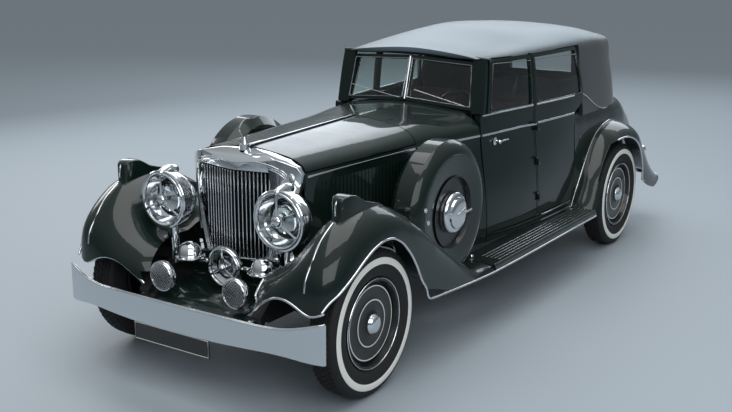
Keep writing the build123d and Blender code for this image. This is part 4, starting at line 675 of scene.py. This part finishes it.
def lamp(name, place, radius, depth, node, spokes=(), shield=0.0, guard=0, mirror=silverReflector):
    # one lamp facing forward: shell, reflector, rim, front glass, and bars or a mesh guard
    ahead = (0, -1, 0)
    inner, deep = radius * 0.845, depth * 0.52
    shell = turned("shell" + name, [(0.0, -deep - 0.006), (inner * 0.45, -deep * 0.92 - 0.005),
        (inner * 0.75, -deep * 0.68 - 0.005), (inner * 0.95, -deep * 0.38 - 0.004), (inner + 0.004, -0.006),
        (radius * 0.965, -0.006), (radius * 0.970, -0.022), (radius * 0.935, -depth * 0.36),
        (radius * 0.850, -depth * 0.52), (radius * 0.700, -depth * 0.70), (radius * 0.470, -depth * 0.86),
        (radius * 0.220, -depth * 0.96), (0.0, -depth * 0.995)], place, ahead, "car", lampSet["shell"], 64,
        40)
    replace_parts(shell, node)
    turned("reflector" + name, [(0.0, -deep), (inner * 0.42, -deep * 0.90), (inner * 0.72, -deep * 0.66),
        (inner * 0.92, -deep * 0.36), (inner, -0.006), (inner + 0.0015, -0.008),
        (inner * 0.94, -deep * 0.37 - 0.002), (inner * 0.74, -deep * 0.67 - 0.002),
        (inner * 0.43, -deep * 0.91 - 0.002), (0.0, -deep - 0.002)], place, ahead, "car", mirror, 64, 40)
    turned("rim" + name, [(inner - 0.004, 0.002), (inner - 0.001, 0.0075), (inner + radius * 0.030, 0.0100),
        (inner + radius * 0.055, 0.0085), (inner + radius * 0.070, 0.0045), (radius * 0.975, 0.0035),
        (radius, -0.0005), (radius, -0.018), (radius * 0.985, -0.023), (inner, -0.023),
        (inner - 0.004, 0.002)], place, ahead, "car", lampSet["rim"], 72, 40)
    turned("front" + name, [(0.0, 0.0105), (inner * 0.5, 0.0080), (inner * 0.8, 0.0040),
        (inner - 0.001, -0.001), (inner - 0.001, -0.004), (inner * 0.8, 0.0010), (inner * 0.5, 0.0050),
        (0.0, 0.0075)], place, ahead, "car", lampSet["front"], 64, 40)
    turned("bulb" + name, [(0.0, -deep * 0.30), (radius * 0.05, -deep * 0.32), (radius * 0.075, -deep * 0.42),
        (radius * 0.06, -deep * 0.56), (radius * 0.05, -deep * 0.97), (0.0, -deep * 0.985)], place, ahead,
        "car", lampSet["reflector"], 24, 40)
    fittings = []
    if shield:
        turned("reflectorRing" + name, [(inner * 0.50, -deep * 0.60), (inner * 0.56, -deep * 0.48),
            (inner * 0.60, -deep * 0.60), (inner * 0.50, -deep * 0.60)], place, ahead, "car", lampSet["bars"],
            48, 60)
        turned("reflectorDark" + name, [(inner * 0.60, -deep * 0.735), (inner * 0.74, -deep * 0.60),
            (inner * 0.74, -deep * 0.58), (inner * 0.60, -deep * 0.70), (inner * 0.60, -deep * 0.735)], place,
            ahead, "car", blackEnamel, 48, 60)
    for angle in spokes:
        bar = blockPiece("bar", (radius * 0.10, -0.0058, 0.0095), (inner + 0.002, 0.0058, 0.0138), "car",
            lampSet["bars"], 0.0012, 35)
        bar.data.transform(Matrix.Translation(Vector(place))
            @ Vector(ahead).to_track_quat("Z", "Y").to_matrix().to_4x4()
            @ Matrix.Rotation(math.radians(angle), 4, "Z"))
        fittings.append(bar)
    if shield:
        fittings.append(turned("shield", [(0.0, 0.0310), (shield * 0.35, 0.0300), (shield * 0.62, 0.0255),
            (shield * 0.78, 0.0190), (shield * 0.80, 0.0165), (shield * 0.93, 0.0160), (shield, 0.0140),
            (shield, 0.0100), (0.0, 0.0095)], place, ahead, "car", lampSet["bars"], 48, 40))
    for index in range(guard):
        across = (index - (guard - 1) / 2) * 2 * inner / guard
        reach = math.sqrt(max(inner ** 2 - across ** 2, 0.0001))
        for turn in (45, -45):
            wire = blockPiece("wire", (-reach, across - 0.0012, 0.0100), (reach, across + 0.0012, 0.0125),
                "car", lampSet["bars"], 0.0005, 35)
            wire.data.transform(Matrix.Translation(Vector(place))
                @ Vector(ahead).to_track_quat("Z", "Y").to_matrix().to_4x4()
                @ Matrix.Rotation(math.radians(turn), 4, "Z"))
            fittings.append(wire)
    if fittings:
        joined("fittings" + name, fittings)


for side, label in ((1, "Left"), (-1, "Right")):
    place = (side * lampSet["headlampAt"][0],) + lampSet["headlampAt"][1:]
    lamp("Headlamp" + label, place, 0.152, 0.192, "headlamps", (90, 210, 330), 0.034)
    bpy.ops.object.select_all(action="DESELECT")
    bpy.ops.mesh.primitive_uv_sphere_add(segments=32, ring_count=16, radius=1,
        location=(place[0], place[1] + 0.050, place[2] + 0.140))
    vent = bpy.context.object
    vent.scale = (0.026, 0.072, 0.034)
    settle(vent, "lampVent" + label, "car", lampSet["shell"], 60)
    place = (side * lampSet["fogAt"][0],) + lampSet["fogAt"][1:]
    lamp("FogLamp" + label, place, 0.078, 0.072, "driving_lamps", (), 0.0, 11, darkMirror)
lamp("CentreLamp", lampSet["centreAt"], 0.107, 0.072, "driving_lamps", (90, 210, 330), 0.022)
print("lamps made")

# horns: domed trumpets' covers on double-ringed bases
hornSet = {"finish": chrome, "place": (0.242, -1.914, 0.5703)}
for side, label in ((1, "Left"), (-1, "Right")):
    place = (side * hornSet["place"][0],) + hornSet["place"][1:]
    horn = turned("horn" + label, [(0.0, 0.0), (0.078, 0.0), (0.080, 0.003), (0.080, 0.0065),
        (0.0765, 0.0090), (0.0790, 0.0115), (0.0785, 0.0150), (0.0700, 0.0175), (0.0640, 0.0190),
        (0.0620, 0.0260), (0.0590, 0.0400), (0.0500, 0.0600), (0.0340, 0.0740), (0.0160, 0.0805),
        (0.0, 0.0820)], place, (0, 0, 1), "car", hornSet["finish"], 64, 35)
    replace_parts(horn, "horns")
print("horns made")
# windscreen: bright inner frames, divider and wipers
screenSet = {"frame": chrome, "frameRadius": 0.0045, "wiper": chrome, "wiperRadius": 0.0022}
for side, label in ((1, "Left"), (-1, "Right")):
    corner = [(0.015, -0.2295, 1.2120), (0.435, -0.196, 1.1800), (0.413, -0.1465, 1.4235),
        (0.015, -0.1600, 1.4410)]
    bead("screenFrame" + label, [(side * x, y - 0.006, z) for x, y, z in corner], screenSet["frameRadius"],
        "car", screenSet["frame"], True, corners="VECTOR")
    arm = [(0.405, -0.2120, 1.186), (0.240, -0.2290, 1.224),
        (0.075, -0.2440, 1.262)] if side > 0 else [(-0.030, -0.2440, 1.206), (-0.220, -0.2290, 1.232),
        (-0.410, -0.2080, 1.258)]
    bead("wiperArm" + label, arm, screenSet["wiperRadius"], "car", screenSet["wiper"])
bead("screenDivider", [(0, -0.2370, 1.200), (0, -0.1700, 1.455)], 0.007, "car", screenSet["frame"],
    corners="VECTOR")
print("windscreen trim made")

# side mouldings: belt strip, window sills and the base of the hood
stripSet = {"finish": chrome, "beltRadius": 0.0035, "beltWidth": 0.006, "beltHeight": 1.025,
    "sillHeight": 1.138}
beltPlan = [(-1.714, 0.356), (-0.787, 0.415), (-0.428, 0.485), (-0.182, 0.532), (0.424, 0.608),
    (0.861, 0.651)]


def sideAt(y):
    # how far out the body side is at the belt
    for (y0, x0), (y1, x1) in zip(beltPlan, beltPlan[1:]):
        if y <= y1:
            return x0 + (x1 - x0) * (y - y0) / (y1 - y0)
    return beltPlan[-1][1]


def sideStrip(name, panel, body, start, end, height, side, radius, flat=0.0, lift=0.0):
    # one length of moulding drawn onto a panel
    steps = max(3, int((end - start) / 0.12) + 1)
    run = [(side * (sideAt(start + (end - start) * i / steps) + 0.03), start + (end - start) * i / steps,
        height) for i in range(steps + 1)]
    return bead(name, hug(panel, run, lift), radius, body, stripSet["finish"], flat=flat)


for side, word in ((1, "left"), (-1, "right")):
    label = word.title()
    for name, panel, body, start, end in (("beltBonnet", "bonnet_sides", "car", -1.700, -0.792),
            ("beltScuttle", "scuttle", "car", -0.770, -0.240),
            ("beltFront", "door_front_" + word, "door_front_" + word, -0.222, 0.332),
            ("beltRear", "door_rear_" + word, "door_rear_" + word, 0.366, 0.868)):
        sideStrip(name + label, panel, body, start, end, stripSet["beltHeight"], side, stripSet["beltRadius"],
            stripSet["beltWidth"])
    for name, panel, body, start, end in (("sillFront", "door_front_" + word, "door_front_" + word, -0.215,
            0.330), ("sillRear", "door_rear_" + word, "door_rear_" + word, 0.368, 0.866)):
        sideStrip(name + label, panel, body, start, end, stripSet["sillHeight"] + 0.004, side, 0.0055)
    for name, panel, body, frameRun in (("glassFrameFront", "door_front_" + word, "door_front_" + word,
            [(-0.131, 1.153), (0.316, 1.153), (0.316, 1.434), (-0.091, 1.434)]),
            ("glassFrameRear", "door_rear_" + word, "door_rear_" + word,
            [(0.382, 1.153), (0.986, 1.153), (0.940, 1.434), (0.382, 1.434)])):
        bead(name + label, hug(panel, [(side * (sideAt(y) + 0.05), y, z) for y, z in frameRun], 0.0), 0.0032,
            body, stripSet["finish"], True, corners="VECTOR")
    lever = hug("door_front_" + word, [(side * 0.62, -0.105, 0.981)])[0]
    turned("handleBoss" + label, [(0.0, 0.0), (0.024, 0.0), (0.025, 0.004), (0.020, 0.008), (0.012, 0.012),
        (0.0105, 0.030), (0.0125, 0.034), (0.0100, 0.040), (0.0, 0.041)], lever, (side, 0, 0),
        "door_front_" + word, stripSet["finish"], 32, 35)
    bead("handleLever" + label, [lever + Vector((side * 0.034, 0.0, 0.0)),
        lever + Vector((side * 0.038, 0.050, 0.003)), lever + Vector((side * 0.037, 0.104, 0.000))], 0.0058,
        "door_front_" + word, stripSet["finish"])
hingeStrip = blockPiece("hingeStrip", (-0.0085, 0.0, -0.003), (0.0085, 0.931, 0.0045), "car",
    stripSet["finish"], 0.002, 35)
hingeStrip.data.transform(Matrix.Translation((0, -1.7125, 1.1475))
    @ Matrix.Rotation(math.atan2(0.030, 0.934), 4, "X"))
print("side mouldings made")

# spare wheel covers: black recess, stepped cap with a lever, two buttons
spareSet = {"recess": blackEnamel, "cap": chrome, "y": -0.930, "z": 0.740, "floorOut": 0.722}
for side, label in ((1, "Left"), (-1, "Right")):
    place, out = (side * spareSet["floorOut"], spareSet["y"], spareSet["z"]), (side, 0, 0)
    turned("spareRecess" + label, [(0.100, -0.001), (0.1865, -0.001), (0.1945, 0.0215), (0.1955, 0.0225),
        (0.1945, 0.0235), (0.1855, 0.0012), (0.100, 0.0012), (0.100, -0.001)], place, out, "car",
        spareSet["recess"], 96, 40)
    turned("spareCap" + label, [(0.0, 0.004), (0.112, 0.004), (0.114, 0.010), (0.1135, 0.030), (0.108, 0.040),
        (0.100, 0.045), (0.0860, 0.0475), (0.0850, 0.0510), (0.0830, 0.0580), (0.0740, 0.0640),
        (0.0500, 0.0675), (0.0, 0.0690)], place, out, "car", spareSet["cap"], 96, 35)
    bead("spareLever" + label, [(side * 0.7955, spareSet["y"] - 0.030, spareSet["z"] - 0.002),
        (side * 0.8000, spareSet["y"], spareSet["z"]),
        (side * 0.8020, spareSet["y"] + 0.035, spareSet["z"] + 0.004),
        (side * 0.8060, spareSet["y"] + 0.085, spareSet["z"] + 0.010)], 0.0065, "car", spareSet["cap"])
    for order, (dy, dz) in enumerate(((-0.262, 0.0), (-0.305, 0.075))):
        spot = hug("spare_covers", [(side * 0.80, spareSet["y"] + dy, spareSet["z"] + dz)])[0]
        turned(f"spareButton{order + 1}{label}", [(0.0, 0.0), (0.0135, 0.0), (0.0135, 0.004), (0.009, 0.008),
            (0.0, 0.009)], spot, out, "car", spareSet["cap"], 24, 35)
    ring = [(side * 0.7492, spareSet["y"] + 0.310 * math.cos(a), spareSet["z"] + 0.310 * math.sin(a))
        for a in [2 * math.pi * i / 48 for i in range(48)]]
    bead("spareCrease" + label, hug("spare_covers", ring, -0.0008), 0.0022, "car", paint, True)
print("spare wheel covers dressed")

# lamp pods that grow out of the wing crests
podSet = {"body": paint, "edge": chrome, "glass": blackEnamel}
podRun = [(-1.937, 0.012, 0.046), (-1.930, 0.026, 0.060), (-1.912, 0.036, 0.071), (-1.870, 0.042, 0.074),
    (-1.835, 0.044, 0.070), (-1.800, 0.045, 0.052), (-1.765, 0.046, 0.030), (-1.710, 0.048, 0.014),
    (-1.640, 0.044, 0.003), (-1.590, 0.034, -0.006)]
for side, word in ((1, "left"), (-1, "right")):
    label = word.title()
    crest = [point.z for point in hug("front_wing_" + word,
        [(side * 0.692, y, 1.02) for y, half, lift in podRun])]
    crest = [min(z, 0.945) for z in crest]
    bpy.ops.object.select_all(action="DESELECT")
    bpy.ops.mesh.primitive_plane_add(size=2, location=(0, 0, 0), rotation=(math.radians(90), 0, 0))
    pod = bpy.context.object
    bpy.ops.object.transform_apply(rotation=True)
    foot = 0.86
    y0, half0, lift0 = podRun[0]
    pod.matrix_world = Matrix.Translation((side * 0.692, y0,
        (crest[0] + lift0 + foot) / 2)) @ Matrix.Diagonal((half0, 1, (crest[0] + lift0 - foot) / 2, 1))
    bpy.ops.object.transform_apply(location=True, rotation=True, scale=True)
    bpy.ops.object.mode_set(mode="EDIT")
    bpy.ops.mesh.select_mode(type="FACE")
    bpy.ops.mesh.select_all(action="SELECT")
    for index in range(1, len(podRun)):
        (y0, half0, lift0), (y1, half1, lift1) = podRun[index - 1], podRun[index]
        bpy.ops.mesh.extrude_region_move(TRANSFORM_OT_translate={"value": (0, y1 - y0, 0)})
        bpy.ops.transform.resize(value=(half1 / half0, 1,
            (crest[index] + lift1 - foot) / (crest[index - 1] + lift0 - foot)),
            center_override=(side * 0.692, y1, foot))
    bpy.ops.mesh.select_all(action="SELECT")
    bpy.ops.mesh.normals_make_consistent(inside=False)
    bpy.ops.object.mode_set(mode="OBJECT")
    ease = pod.modifiers.new("ease", "BEVEL")
    ease.width = 0.016
    ease.segments = 5
    ease.limit_method = "ANGLE"
    ease.angle_limit = math.radians(50)
    applyModifiers(pod)
    settle(pod, "lampPod" + label, "car", podSet["body"], 60)
    top = crest[0] + podRun[0][2]
    bead("podEdge" + label, [(side * 0.692, -1.942, crest[0] - 0.012), (side * 0.692, -1.9405, top - 0.022),
        (side * 0.692, -1.932, top + 0.004), (side * 0.692, -1.905, top + 0.022)], 0.0045, "car",
        podSet["edge"])
    turned("podLens" + label, [(0.0, 0.004), (0.010, 0.003), (0.013, 0.0), (0.013, -0.004), (0.0, -0.004)],
        (side * (0.692 + 0.0285), -1.920, 0.962), (side, -0.5, 0), "car", podSet["glass"], 32, 40)
print("lamp pods made")

# running boards: bright strips on the ribs and a pale outer moulding
boardSet = {"strip": dullPlate, "bright": chrome, "ribs": (0.690, 0.716, 0.742, 0.768, 0.794), "top": 0.3685}
for side, label in ((1, "Left"), (-1, "Right")):
    strips = [blockPiece("rib", (side * x - 0.0042, -0.470, boardSet["top"] - 0.002),
        (side * x + 0.0042, 0.885, boardSet["top"] + 0.0062), "car", boardSet["strip"], 0.002, 35)
        for x in boardSet["ribs"]]
    joined("boardRibs" + label, strips)
    for name, height, start in (("boardInner", 0.378, -0.500), ("sillFoot", 0.420, -0.440)):
        run = [(side * (sideAt(start + (0.860 - start) * i / 10) + 0.03), start + (0.860 - start) * i / 10,
            height) for i in range(11)]
        bead(name + label, hug("body_sides", run, 0.001), 0.0045, "car", boardSet["bright"])
    bead("boardOuter" + label, [(side * 0.826, -0.590, 0.3725), (side * 0.826, 0.893, 0.3725)], 0.0060, "car",
        paint, corners="VECTOR")
    turned("boardKnob" + label, [(0.0, -0.004), (0.014, -0.004), (0.0155, 0.004), (0.011, 0.012),
        (0.0, 0.015)], (side * 0.640, -0.515, 0.372), (0, 0, 1), "car", boardSet["bright"], 24, 35)
print("running boards dressed")

# bumpers, plates and tail lamps
plateSet = {"border": stripeAndHighlightWhite, "ruby": rubyLens, "edge": chrome}
for name, half, y, low, high in (("plateBorderFront", 0.236, -2.3192, 0.264, 0.346),
        ("plateBorderRear", 0.205, 2.3105, 0.493, 0.555)):
    bead(name, [(-half, y, low), (half, y, low), (half, y, high), (-half, y, high)], 0.0024, "car",
        plateSet["border"], True, corners="VECTOR")
edgeBead("bumperEdge", "front_bumper", lambda v: v[2] > 0.462, lambda run: spanOf(run) - 40 * meanOf(run, 1),
    0.0045)
for side, label in ((1, "Left"), (-1, "Right")):
    turned("rubyLens" + label, [(0.0, 0.014), (0.016, 0.012), (0.027, 0.006), (0.0305, 0.0), (0.0305, -0.004),
        (0.0, -0.004)], (side * 0.716, 2.0205, 0.590), (0, 1, 0), "car", plateSet["ruby"], 40, 40)
    edgeBead("tailEdge" + label, "rear_wing_" + label.lower(), lambda v,
        s=side: v[1] > 1.86 and s * v[0] > 0.45 and v[2] < 0.60, lambda run: spanOf(run) - 4 * meanOf(run, 2),
        wingTrim["beadRadius"])
print("bumpers and plates dressed")
# hood: one stretched skin of duck over the solid shell, and a bright moulding round its foot
hoodSet = {"cloth": hoodCloth, "thickness": 0.0022, "inside": Vector((0, 0.75, 1.22)), "moulding": chrome,
           # flat cut: widest girth, length over the bows, and area less the door openings and rear light
           "cutWidth": 2.14, "cutLength": 2.23, "cutArea": 3.22}
only(bpy.data.objects["panel_hood"])
bpy.ops.object.duplicate()
skin = bpy.context.object
bpy.ops.object.parent_clear(type="CLEAR_KEEP_TRANSFORM")
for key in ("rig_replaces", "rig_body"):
    if key in skin:
        del skin[key]
outward = [face.normal.dot((face.center - hoodSet["inside"]).normalized()) > 0.25
    for face in skin.data.polygons]
bpy.ops.object.mode_set(mode="EDIT")
bpy.ops.mesh.select_mode(type="FACE")
bpy.ops.mesh.select_all(action="DESELECT")
bpy.ops.object.mode_set(mode="OBJECT")
for face, out in zip(skin.data.polygons, outward):
    face.select = not out
bpy.ops.object.mode_set(mode="EDIT")
bpy.ops.mesh.delete(type="FACE")
bpy.ops.object.mode_set(mode="OBJECT")
skinArea = sum(face.area for face in skin.data.polygons)
over = skin.modifiers.new("thickness", "SOLIDIFY")
over.thickness = hoodSet["thickness"]
over.offset = 1.0
applyModifiers(skin)
settle(skin, "hoodSkin", "car", hoodSet["cloth"], 40)
print("hood skin", round(skinArea, 3), "cut", hoodSet["cutArea"])
for side, label in ((1, "Left"), (-1, "Right")):
    foot = [(0.62, 0.885, 1.139), (0.61, 1.005, 1.141), (0.60, 1.085, 1.116), (0.60, 1.191, 1.060),
        (0.60, 1.307, 1.010), (0.60, 1.425, 0.972), (0.55, 1.543, 0.968), (0.50, 1.600, 0.990)]
    bead("hoodMoulding" + label, hug("hood", [(side * (x + 0.06), y, z) for x, y, z in foot], 0.002), 0.0065,
        "car", hoodSet["moulding"])
print("hood dressed")
# seats: leather cushions blown up from slightly smaller pads
seatSet = {"leather": leather, "grain": 0.016, "pressure": 3.0, "fill": 0.8, "inset": 0.010,
           "frontX": 0.270, "frontHalf": 0.228, "rearX": 0.266, "rearHalf": 0.256, "lean": -14.5}


def cushion(name, low, high, place, lean):
    # a padded piece: a soft block, remeshed, then filled by a short cloth run
    inset = seatSet["inset"]
    pad = blockPiece(name, [v + inset for v in low], [v - inset for v in high], "car", seatSet["leather"],
        0.022, 60)
    only(pad)
    remesh = pad.modifiers.new("evenFaces", "REMESH")
    remesh.mode = "VOXEL"
    remesh.voxel_size = seatSet["grain"]
    bpy.ops.object.modifier_apply(modifier=remesh.name)
    still = [vertex.co.copy() for vertex in pad.data.vertices]
    filled = pad.modifiers.new("filling", "CLOTH")
    filled.settings.use_pressure = True
    filled.settings.uniform_pressure_force = seatSet["pressure"]
    filled.settings.tension_stiffness = filled.settings.compression_stiffness = 30
    filled.settings.bending_stiffness = 2
    filled.settings.effector_weights.gravity = 0
    for frameNumber in range(1, 16):
        bpy.context.scene.frame_set(frameNumber)
    bpy.ops.object.modifier_apply(modifier=filled.name)
    bpy.context.scene.frame_set(1)
    for vertex, start in zip(pad.data.vertices, still):
        moved = vertex.co - start
        if moved.length > 0.016:
            vertex.co = start + moved * (0.016 / moved.length)
    only(pad)
    pad.matrix_world = Matrix.Translation(Vector(place)) @ Matrix.Rotation(math.radians(lean), 4, "X")
    bpy.ops.object.transform_apply(location=True, rotation=True, scale=True)
    bpy.ops.object.shade_smooth()
    pad.data.materials.clear()
    pad.data.materials.append(seatSet["leather"])
    return pad


for side, label in ((1, "Left"), (-1, "Right")):
    half = seatSet["frontHalf"]
    cushion("frontCushion" + label, (-half, 0.0, 0.0), (half, 0.455, 0.130),
        (side * seatSet["frontX"], 0.050, 0.625), 2.0)
    cushion("frontBack" + label, (-half, -0.045, 0.0), (half, 0.050, 0.450),
        (side * seatSet["frontX"], 0.492, 0.722), seatSet["lean"])
    half = seatSet["rearHalf"]
    cushion("rearCushion" + label, (-half, 0.0, 0.0), (half, 0.500, 0.130),
        (side * seatSet["rearX"], 0.888, 0.660), 2.0)
    cushion("rearBack" + label, (-half, -0.050, 0.0), (half, 0.050, 0.440),
        (side * seatSet["rearX"], 1.385, 0.755), seatSet["lean"])
print("seats filled")

# dashboard dials and header rail
dashSet = {"face": blackEnamel, "rim": chrome, "dials": ((0.16, 1.035, 0.046), (0.05, 1.030, 0.034),
    (-0.05, 1.030, 0.034), (-0.16, 1.035, 0.046)), "depth": -0.1795}
for order, (x, z, radius) in enumerate(dashSet["dials"]):
    turned(f"dialFace{order + 1}", [(0.0, 0.0), (radius, 0.0), (radius, 0.0020), (0.0, 0.0022)],
        (x, dashSet["depth"], z), (0, 1, 0), "car", dashSet["face"], 40, 40)
    turned(f"dialRim{order + 1}", [(radius, 0.0), (radius + 0.004, 0.0), (radius + 0.004, 0.003),
        (radius + 0.001, 0.0055), (radius - 0.001, 0.004), (radius, 0.0)], (x, dashSet["depth"], z),
        (0, 1, 0), "car", dashSet["rim"], 40, 40)
bead("headerRail", [(-0.520, -0.116, 1.456), (-0.260, -0.140, 1.470), (0.0, -0.150, 1.475),
    (0.260, -0.140, 1.470), (0.520, -0.116, 1.456)], 0.0130, "car", paint)
print("cabin dressed")


# studio
def areaLight(name, place, target, size, power, colour=(1, 1, 1)):
    bpy.ops.object.light_add(type="AREA", location=place)
    light = bpy.context.object
    light.name = name
    light.data.shape = "RECTANGLE"
    light.data.size, light.data.size_y = size
    light.data.energy = power
    light.data.color = colour
    light.rotation_euler = (Vector(target) - Vector(place)).to_track_quat("-Z", "Y").to_euler()
    return light


studio = {"floorColour": "#99a2a9", "zenithColour": "#dfe6ea", "horizonColour": "#7d868c",
    "worldStrength": 0.62}
bpy.ops.mesh.primitive_plane_add(size=400, location=(0, 0, -0.0005))
floor = bpy.context.object
floor.name = "studioFloor"
floorPaint = startMaterial("studioFloorPaint", studio["floorColour"], Roughness=0.6)[0]
floor.data.materials.append(floorPaint)

world = bpy.data.worlds.new("studioWorld")
bpy.context.scene.world = world
world.use_nodes = True
background = world.node_tree.nodes["Background"]
heading = addNode(world.node_tree, "ShaderNodeTexCoord")
height = addNode(world.node_tree, "ShaderNodeSeparateXYZ", {}, {"Vector": (heading, "Generated")})
rise = addNode(world.node_tree, "ShaderNodeMapRange", {"From Min": 0.05, "From Max": 0.75},
    {"Value": (height, "Z")})
sky = mixColours(world.node_tree, (rise, 0), studio["horizonColour"], studio["zenithColour"])
world.node_tree.links.new(sky.outputs[2], background.inputs["Color"])
background.inputs["Strength"].default_value = studio["worldStrength"]

areaLight("overheadBox", (0.5, -0.5, 6.0), (0, 0, 0.5), (5.0, 7.0), 260)
areaLight("frontLeftBox", (6.0, -6.0, 4.6), (0, -0.5, 0.7), (7.5, 4.5), 260, (0.93, 0.97, 1.0))
areaLight("rightRimBox", (-6.5, 1.5, 3.2), (0, 0, 0.8), (6.0, 2.0), 120)
areaLight("rearBox", (-2.5, 8.5, 5.6), (0, 0.5, 0.9), (10.0, 4.5), 330, (0.86, 0.93, 1.0))

# camera 36 mm wide behind a 52 mm lens, looking 14 degrees down
cameraSet = {"place": (3.387, -5.726, 2.170), "azimuth": 33.736, "elevation": 14.361, "roll": 0.246,
    "lens": 52.06}
azimuth, elevation, roll = (math.radians(cameraSet[k]) for k in ("azimuth", "elevation", "roll"))
back = Vector((math.sin(azimuth) * math.cos(elevation), -math.cos(azimuth) * math.cos(elevation),
    math.sin(elevation)))
right = Vector((math.cos(azimuth), math.sin(azimuth), 0))
up = back.cross(right)
turnedRight = right * math.cos(roll) + up * math.sin(roll)
turnedUp = up * math.cos(roll) - right * math.sin(roll)
bpy.ops.object.camera_add(location=cameraSet["place"])
camera = bpy.context.object
camera.data.lens = cameraSet["lens"]
camera.data.sensor_width = 36
camera.data.clip_end = 200
camera.matrix_world = Matrix.Translation(Vector(cameraSet["place"])) @ Matrix((turnedRight, turnedUp,
    back)).transposed().to_4x4()
bpy.context.scene.camera = camera
bpy.context.scene.view_settings.view_transform = "Standard"
print("studio ready")
